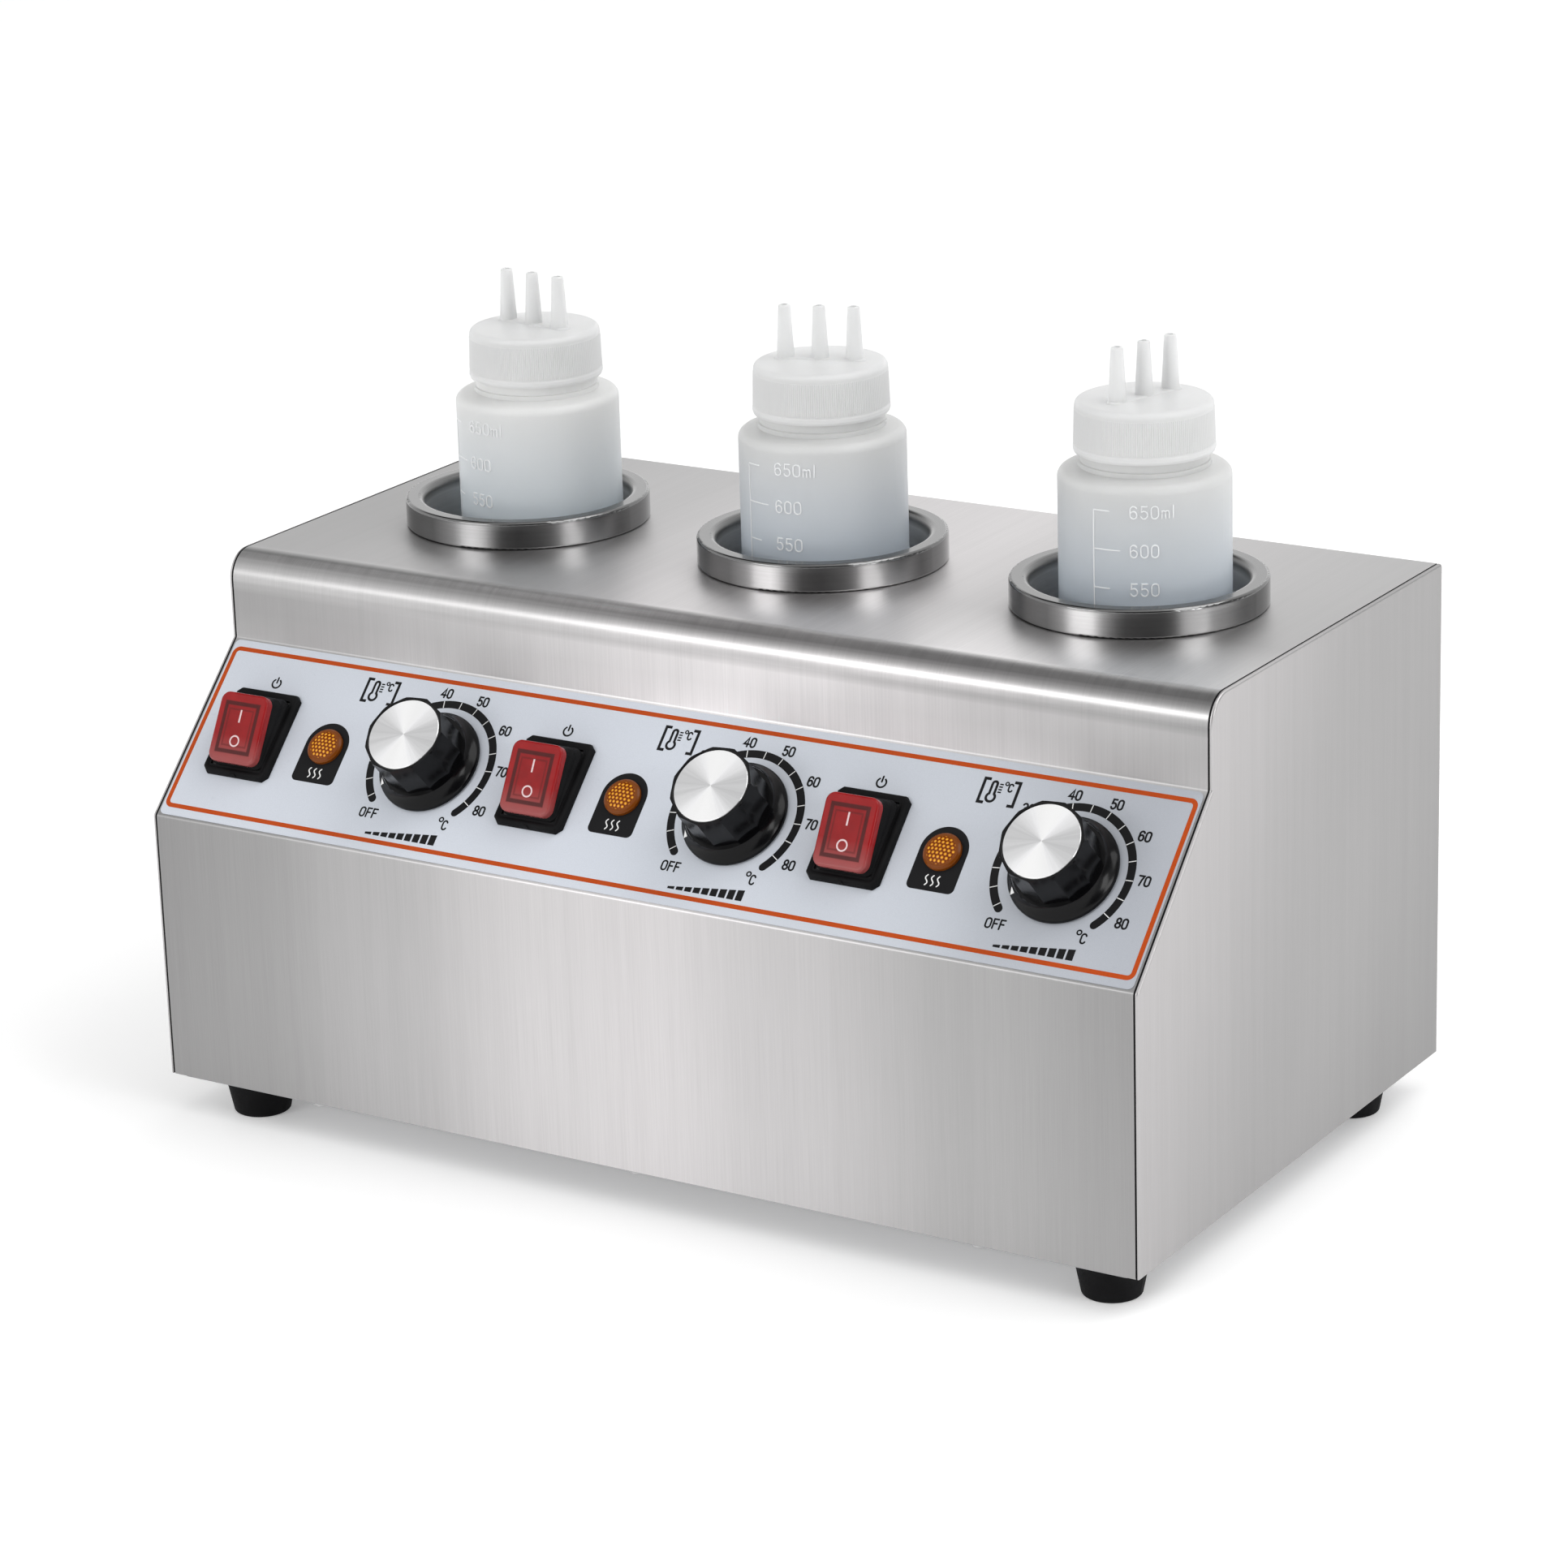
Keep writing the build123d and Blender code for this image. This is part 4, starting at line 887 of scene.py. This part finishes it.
# ------------------------------------------------------------------ switches: boot frame, bellows, rocker details
def chamfered(w, h, c, d=0.0, per_side=10):
    """Rectangle with cut corners, drawn in by d, as an even run of points."""
    w, h, c = w - 2 * d, h - 2 * d, max(0.4, c - 0.586 * d)
    k = [(w / 2, -h / 2 + c), (w / 2, h / 2 - c), (w / 2 - c, h / 2), (-w / 2 + c, h / 2), (-w / 2, h / 2 - c), (-w / 2, -h / 2 + c), (-w / 2 + c, -h / 2), (w / 2 - c, -h / 2)]
    pts = []
    for i in range(8):
        a, b2 = Vector(k[i]), Vector(k[(i + 1) % 8])
        m = per_side if i % 2 == 0 else 3
        pts += [a.lerp(b2, t / m) for t in range(m)]
    return pts


def rocker_point(u, p):
    """A point given upright about the pivot, as the rocker stands at OFF."""
    c, s = math.cos(TILT), math.sin(TILT)
    return at_panel(u + p[0], SWITCH_V + p[1] * c - p[2] * s, PIVOT_W + p[1] * s + p[2] * c)


for i in range(3):
    n = i + 1
    u = DIAL_X[i] + SWITCH_DX
    place = panel_place(u, SWITCH_V)

    # moulded frame of the boot
    fr = Build()
    W, H, C = 31.2, 38.8, 2.3
    section = [(0.0, 0.33), (0.0, 0.75), (0.25, 1.9), (0.75, 2.75), (1.25, 3.0), (2.1, 3.0), (2.5, 2.72), (2.9, 2.66), (3.3, 2.9), (3.5, 2.9), (3.5, 2.0), (3.0, 2.0), (3.0, 0.33)]
    rings = [[place(p.x, p.y, w) for p in chamfered(W, H, C, d)] for d, w in section]
    # a small mould notch in the middle of the lower edge
    fr.loft([list(r) for r in rings], cap=False, closed_path=True)
    o = fr.make(f"boot_frame_{n}", MATS["boot"].m, True, 40)
    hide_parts(f"switch_boot_{n}")
    seat(o, "cabinet")
    nt = Build()
    nt.loft([[place(x, y, w) for x, y in q] for q, w in (
        ([(-1.5, -19.45), (1.5, -19.45), (1.1, -18.6), (-1.1, -18.6)], 0.5),
        ([(-1.2, -19.3), (1.2, -19.3), (0.9, -18.2), (-0.9, -18.2)], 2.3),
        ([(-0.9, -18.9), (0.9, -18.9), (0.7, -17.9), (-0.7, -17.9)], 2.9))])
    seat(nt.make(f"boot_notch_{n}", MATS["boot"].m, True, 40), "cabinet")

    # bellows between the frame and the rocker
    ks = 44
    outer_t = [0.0, 0.10, 0.20, 0.30, 0.40, 0.50, 0.60, 0.70, 0.80, 0.90, 1.0]
    fold = [0.0, 0.55, 0.95, 0.60, 0.05, 0.50, 0.85, 0.50, 0.0, 0.25, 0.1]

    def ring_at(t, out, thick):
        """Point ring at share t of the way up, out of the wall by out."""
        base = [Vector(p) for p in rrect(24.6, 31.2, 3.2, ks // 4 - 1)]
        top = [Vector(p) for p in rrect(22.0, 27.4, 3.6, ks // 4 - 1)]
        pts = []
        for q0, q1 in zip(base, top):
            a = place(q0.x, q0.y, 2.75)
            z = rocker_point(u, (q1.x, q1.y, 6.15))
            h = (z - a).dot(PANEL_W) / MM
            amp = min(1.0, max(0.0, (h - 1.0) / 5.0))
            p = a.lerp(z, t)
            side = (PANEL_X * q0.x / 12.3 ** 1 + PANEL_V * q0.y / 15.6).normalized()
            pts.append(p + side * (out * amp - thick) * MM)
        return pts

    be = Build()
    rings = [ring_at(t, o1, 0.0) for t, o1 in zip(outer_t, fold)]
    rings += [ring_at(t, o1, 0.55) for t, o1 in reversed(list(zip(outer_t, fold)))]
    be.loft(rings, cap=False, closed_path=True)
    o = be.make(f"boot_bellows_{n}", MATS["boot"].m, True, 60)
    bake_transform(o)

    # inside the clear red cap: a dark frame and a lighter block; on it, I and O
    rp = lambda x, y, z: rocker_point(u, (x, y, z))
    fr = Build()
    fr.ribbon([Vector(p) for p in rrect(15.2, 19.8, 0.8, 3)], 1.15, rp, 8.15, 8.75, closed=True)
    seat(fr.make(f"rocker_inner_frame_{n}", MATS["black"].m, False), f"rocker_{n}")
    bl = Build()
    bl.prism(rrect(12.4, 17.0, 0.7, 3), rp, 6.6, 8.55, 0.3)
    seat(bl.make(f"rocker_inner_block_{n}", MATS["red_block"].m, True, 40), f"rocker_{n}")
    mk = Build()
    mk.ribbon([(0, 2.2), (0, 7.3)], 0.72, rp, 9.68, 9.80, caps=False)
    mk.ribbon([Vector(p) for p in arc(0, -5.3, 2.05, 0, 352.5, 47)], 0.62, rp, 9.68, 9.80, closed=True)
    seat(mk.make(f"rocker_marks_{n}", MATS["rocker_mark"].m, False), f"rocker_{n}")

# ------------------------------------------------------------------ bottles: graduation, cap ribs
LINE_ANGLE = (-136.5, -118.3, -97.4)
for i in range(3):
    n = i + 1
    cx, cy = WELL_X[i] + BOTTLE_OFF[i][0], WELL_Y + BOTTLE_OFF[i][1]
    a0 = LINE_ANGLE[i]

    def on_bottle(x, y, z):
        """x along the wall from the graduation line, y height in the case, z out of the wall, mm."""
        a = math.radians(a0) + x / BOTTLE_R
        r = BOTTLE_R + z
        return case(cx + r * math.cos(a), cy + r * math.sin(a), y)

    g = Build()
    k = math.radians(1.0) * BOTTLE_R
    g.ribbon([(0, y) for y in (246.5, 231, 216, 190, 160, 130, 100)], 0.42, on_bottle, -0.25, 0.18)
    for y, long_mark, text in ((246.5, False, "650ml"), (231.6, True, "600"), (216.7, False, "550"), (201.8, True, "500"), (186.9, False, "450"), (172.0, True, "400")):
        span = (18.6 if long_mark else 11.3) * k
        m = 8 if long_mark else 5
        g.ribbon([(span * t / m, y) for t in range(m + 1)], 0.42, on_bottle, -0.25, 0.18)
        words(g, text, 4.7, 0.45, on_bottle, -0.25, 0.27, 25.6 * k, y, gap=0.25, left=True, narrow=1.12)
    seat(g.make(f"bottle_graduation_{n}", MATS["mark"].m, False), f"squeeze_bottle_{n}")

    # fine upright ribs round the cap's skirt
    ribs = 196
    prof = [(26.45, CAP_Z0 + 3.1, 0.0), (26.62, CAP_Z0 + 3.3, 1.0), (26.40, CAP_Z0 + 10.0, 1.0), (26.22, CAP_TOP_Z - 3.4, 1.0), (25.95, CAP_TOP_Z - 3.0, 0.0)]
    rings = []
    for r, z, amp in prof:
        ring = []
        for t in range(ribs * 4):
            a = 2 * math.pi * t / (ribs * 4)
            bump = (0.0, 0.10, 0.15, 0.10)[t % 4]
            ring.append(case(cx + (r + bump * amp) * math.cos(a), cy + (r + bump * amp) * math.sin(a), z))
        rings.append(ring)
    inner = []
    for r, z, amp in reversed(prof):
        inner.append([case(cx + (r - 0.55) * math.cos(2 * math.pi * t / (ribs * 4)), cy + (r - 0.55) * math.sin(2 * math.pi * t / (ribs * 4)), z) for t in range(ribs * 4)])
    rb = Build()
    rb.loft(rings + inner, cap=False, closed_path=True)
    seat(rb.make(f"cap_ribs_{n}", MATS["cap"].m, True, 25), f"nozzle_cap_{n}")

# ------------------------------------------------------------------ floor, camera, lights
me = bpy.data.meshes.new("floor")
R = 14.0
me.from_pydata([(-R, -R, 0), (R, -R, 0), (R, R, 0), (-R, R, 0)], [], [(0, 1, 2, 3)])
floor = bpy.data.objects.new("floor", me)
SCENE.collection.objects.link(floor)
fm = Mat("floor_pale", (0.93, 0.93, 0.93), 0.0, 0.6)
fm.set("Specular IOR Level", 0.1)
fm.set("Emission Color", (1.0, 1.0, 1.0, 1.0))
fm.set("Emission Strength", 0.24)
fm.color(fm.mix(fm.map(fm.noise(3.0, 2.0, 0.5), 0.0, 1.0, 0.3, 0.7), (0.925, 0.925, 0.925), (0.935, 0.935, 0.935)))
me.materials.append(fm.m)

cam_data = bpy.data.cameras.new("camera")
cam_data.lens = 116.67
cam_data.sensor_width = 36.0
cam_data.clip_start, cam_data.clip_end = 0.05, 60.0
cam = bpy.data.objects.new("camera", cam_data)
SCENE.collection.objects.link(cam)
right, up, back = (0.850988, 0.524354, -0.029534), (-0.141075, 0.282398, 0.948867), (0.505883, -0.803308, 0.314290)
cam.matrix_world = Matrix(((right[0], up[0], back[0], 1.00816), (right[1], up[1], back[1], -1.614795), (right[2], up[2], back[2], 0.76171), (0, 0, 0, 1)))
SCENE.camera = cam

SCENE.view_settings.view_transform = "Standard"
SCENE.view_settings.look = "None"
SCENE.view_settings.exposure = 0.0
SCENE.view_settings.gamma = 1.0


def area(name, at, aim, w, h, power, color=(1, 1, 1)):
    d = bpy.data.lights.new(name, "AREA")
    d.shape = "RECTANGLE"
    d.size, d.size_y = w, h
    d.energy = power
    d.color = color
    o = bpy.data.objects.new(name, d)
    SCENE.collection.objects.link(o)
    o.location = at
    o.rotation_mode = "QUATERNION"
    o.rotation_quaternion = (Vector(aim) - Vector(at)).to_track_quat("-Z", "Y")
    return o


area("key_right_top", (1.5, 0.5, 2.4), (0, 0, 0.1), 1.6, 1.6, 19)
area("left_box", (-0.89, -2.30, 0.98), (0, 0, 0.2), 1.25, 0.6, 11)
area("right_box", (2.35, -0.50, 0.98), (0, 0, 0.2), 1.1, 0.6, 10)

world = bpy.data.worlds.new("studio")
SCENE.world = world
world.use_nodes = True
wt = world.node_tree
bgn = wt.nodes["Background"]
tc = wt.nodes.new("ShaderNodeTexCoord")
sp = wt.nodes.new("ShaderNodeSeparateXYZ")
wt.links.new(tc.outputs["Generated"], sp.inputs[0])


def wmath(op, a, b=None, clamp=False):
    n = wt.nodes.new("ShaderNodeMath")
    n.operation, n.use_clamp = op, clamp
    for k, v in enumerate((a, b)):
        if v is None:
            continue
        if isinstance(v, (int, float)):
            n.inputs[k].default_value = v
        else:
            wt.links.new(v, n.inputs[k])
    return n.outputs[0]


def wmap(v, lo, hi, a, b2):
    n = wt.nodes.new("ShaderNodeMapRange")
    n.interpolation_type = "SMOOTHSTEP"
    wt.links.new(v, n.inputs["Value"])
    for k, x in (("From Min", lo), ("From Max", hi), ("To Min", a), ("To Max", b2)):
        n.inputs[k].default_value = x
    return n.outputs["Result"]


def lobe(direction, full, none):
    """1 within full degrees of a direction, 0 beyond none degrees."""
    d = Vector(direction).normalized()
    n = wt.nodes.new("ShaderNodeVectorMath")
    n.operation = "DOT_PRODUCT"
    wt.links.new(tc.outputs["Generated"], n.inputs[0])
    n.inputs[1].default_value = d
    return wmap(n.outputs["Value"], math.cos(math.radians(none)), math.cos(math.radians(full)), 0.0, 1.0)


# a pale room: dark towards the camera and high up at the back, bright at the front left
level = wmath("SUBTRACT", 1.0, wmath("MULTIPLY", lobe((-0.50, 0.28, 0.82), 12, 33), 0.97))
level = wmath("SUBTRACT", level, wmath("MULTIPLY", lobe((0.51, -0.80, 0.31), 18, 40), 0.93))
level = wmath("SUBTRACT", level, wmath("MULTIPLY", lobe((0.82, 0.475, 0.31), 10, 30), 0.75))
level = wmath("ADD", level, wmath("MULTIPLY", lobe((-0.50, 0.80, 0.25), 12, 40), 0.20))
level = wmath("MAXIMUM", level, 0.05)
cc = wt.nodes.new("ShaderNodeCombineColor")
for k in range(3):
    wt.links.new(level, cc.inputs[k])
wt.links.new(cc.outputs[0], bgn.inputs["Color"])
bgn.inputs["Strength"].default_value = 1.0

bpy.context.view_layer.update()
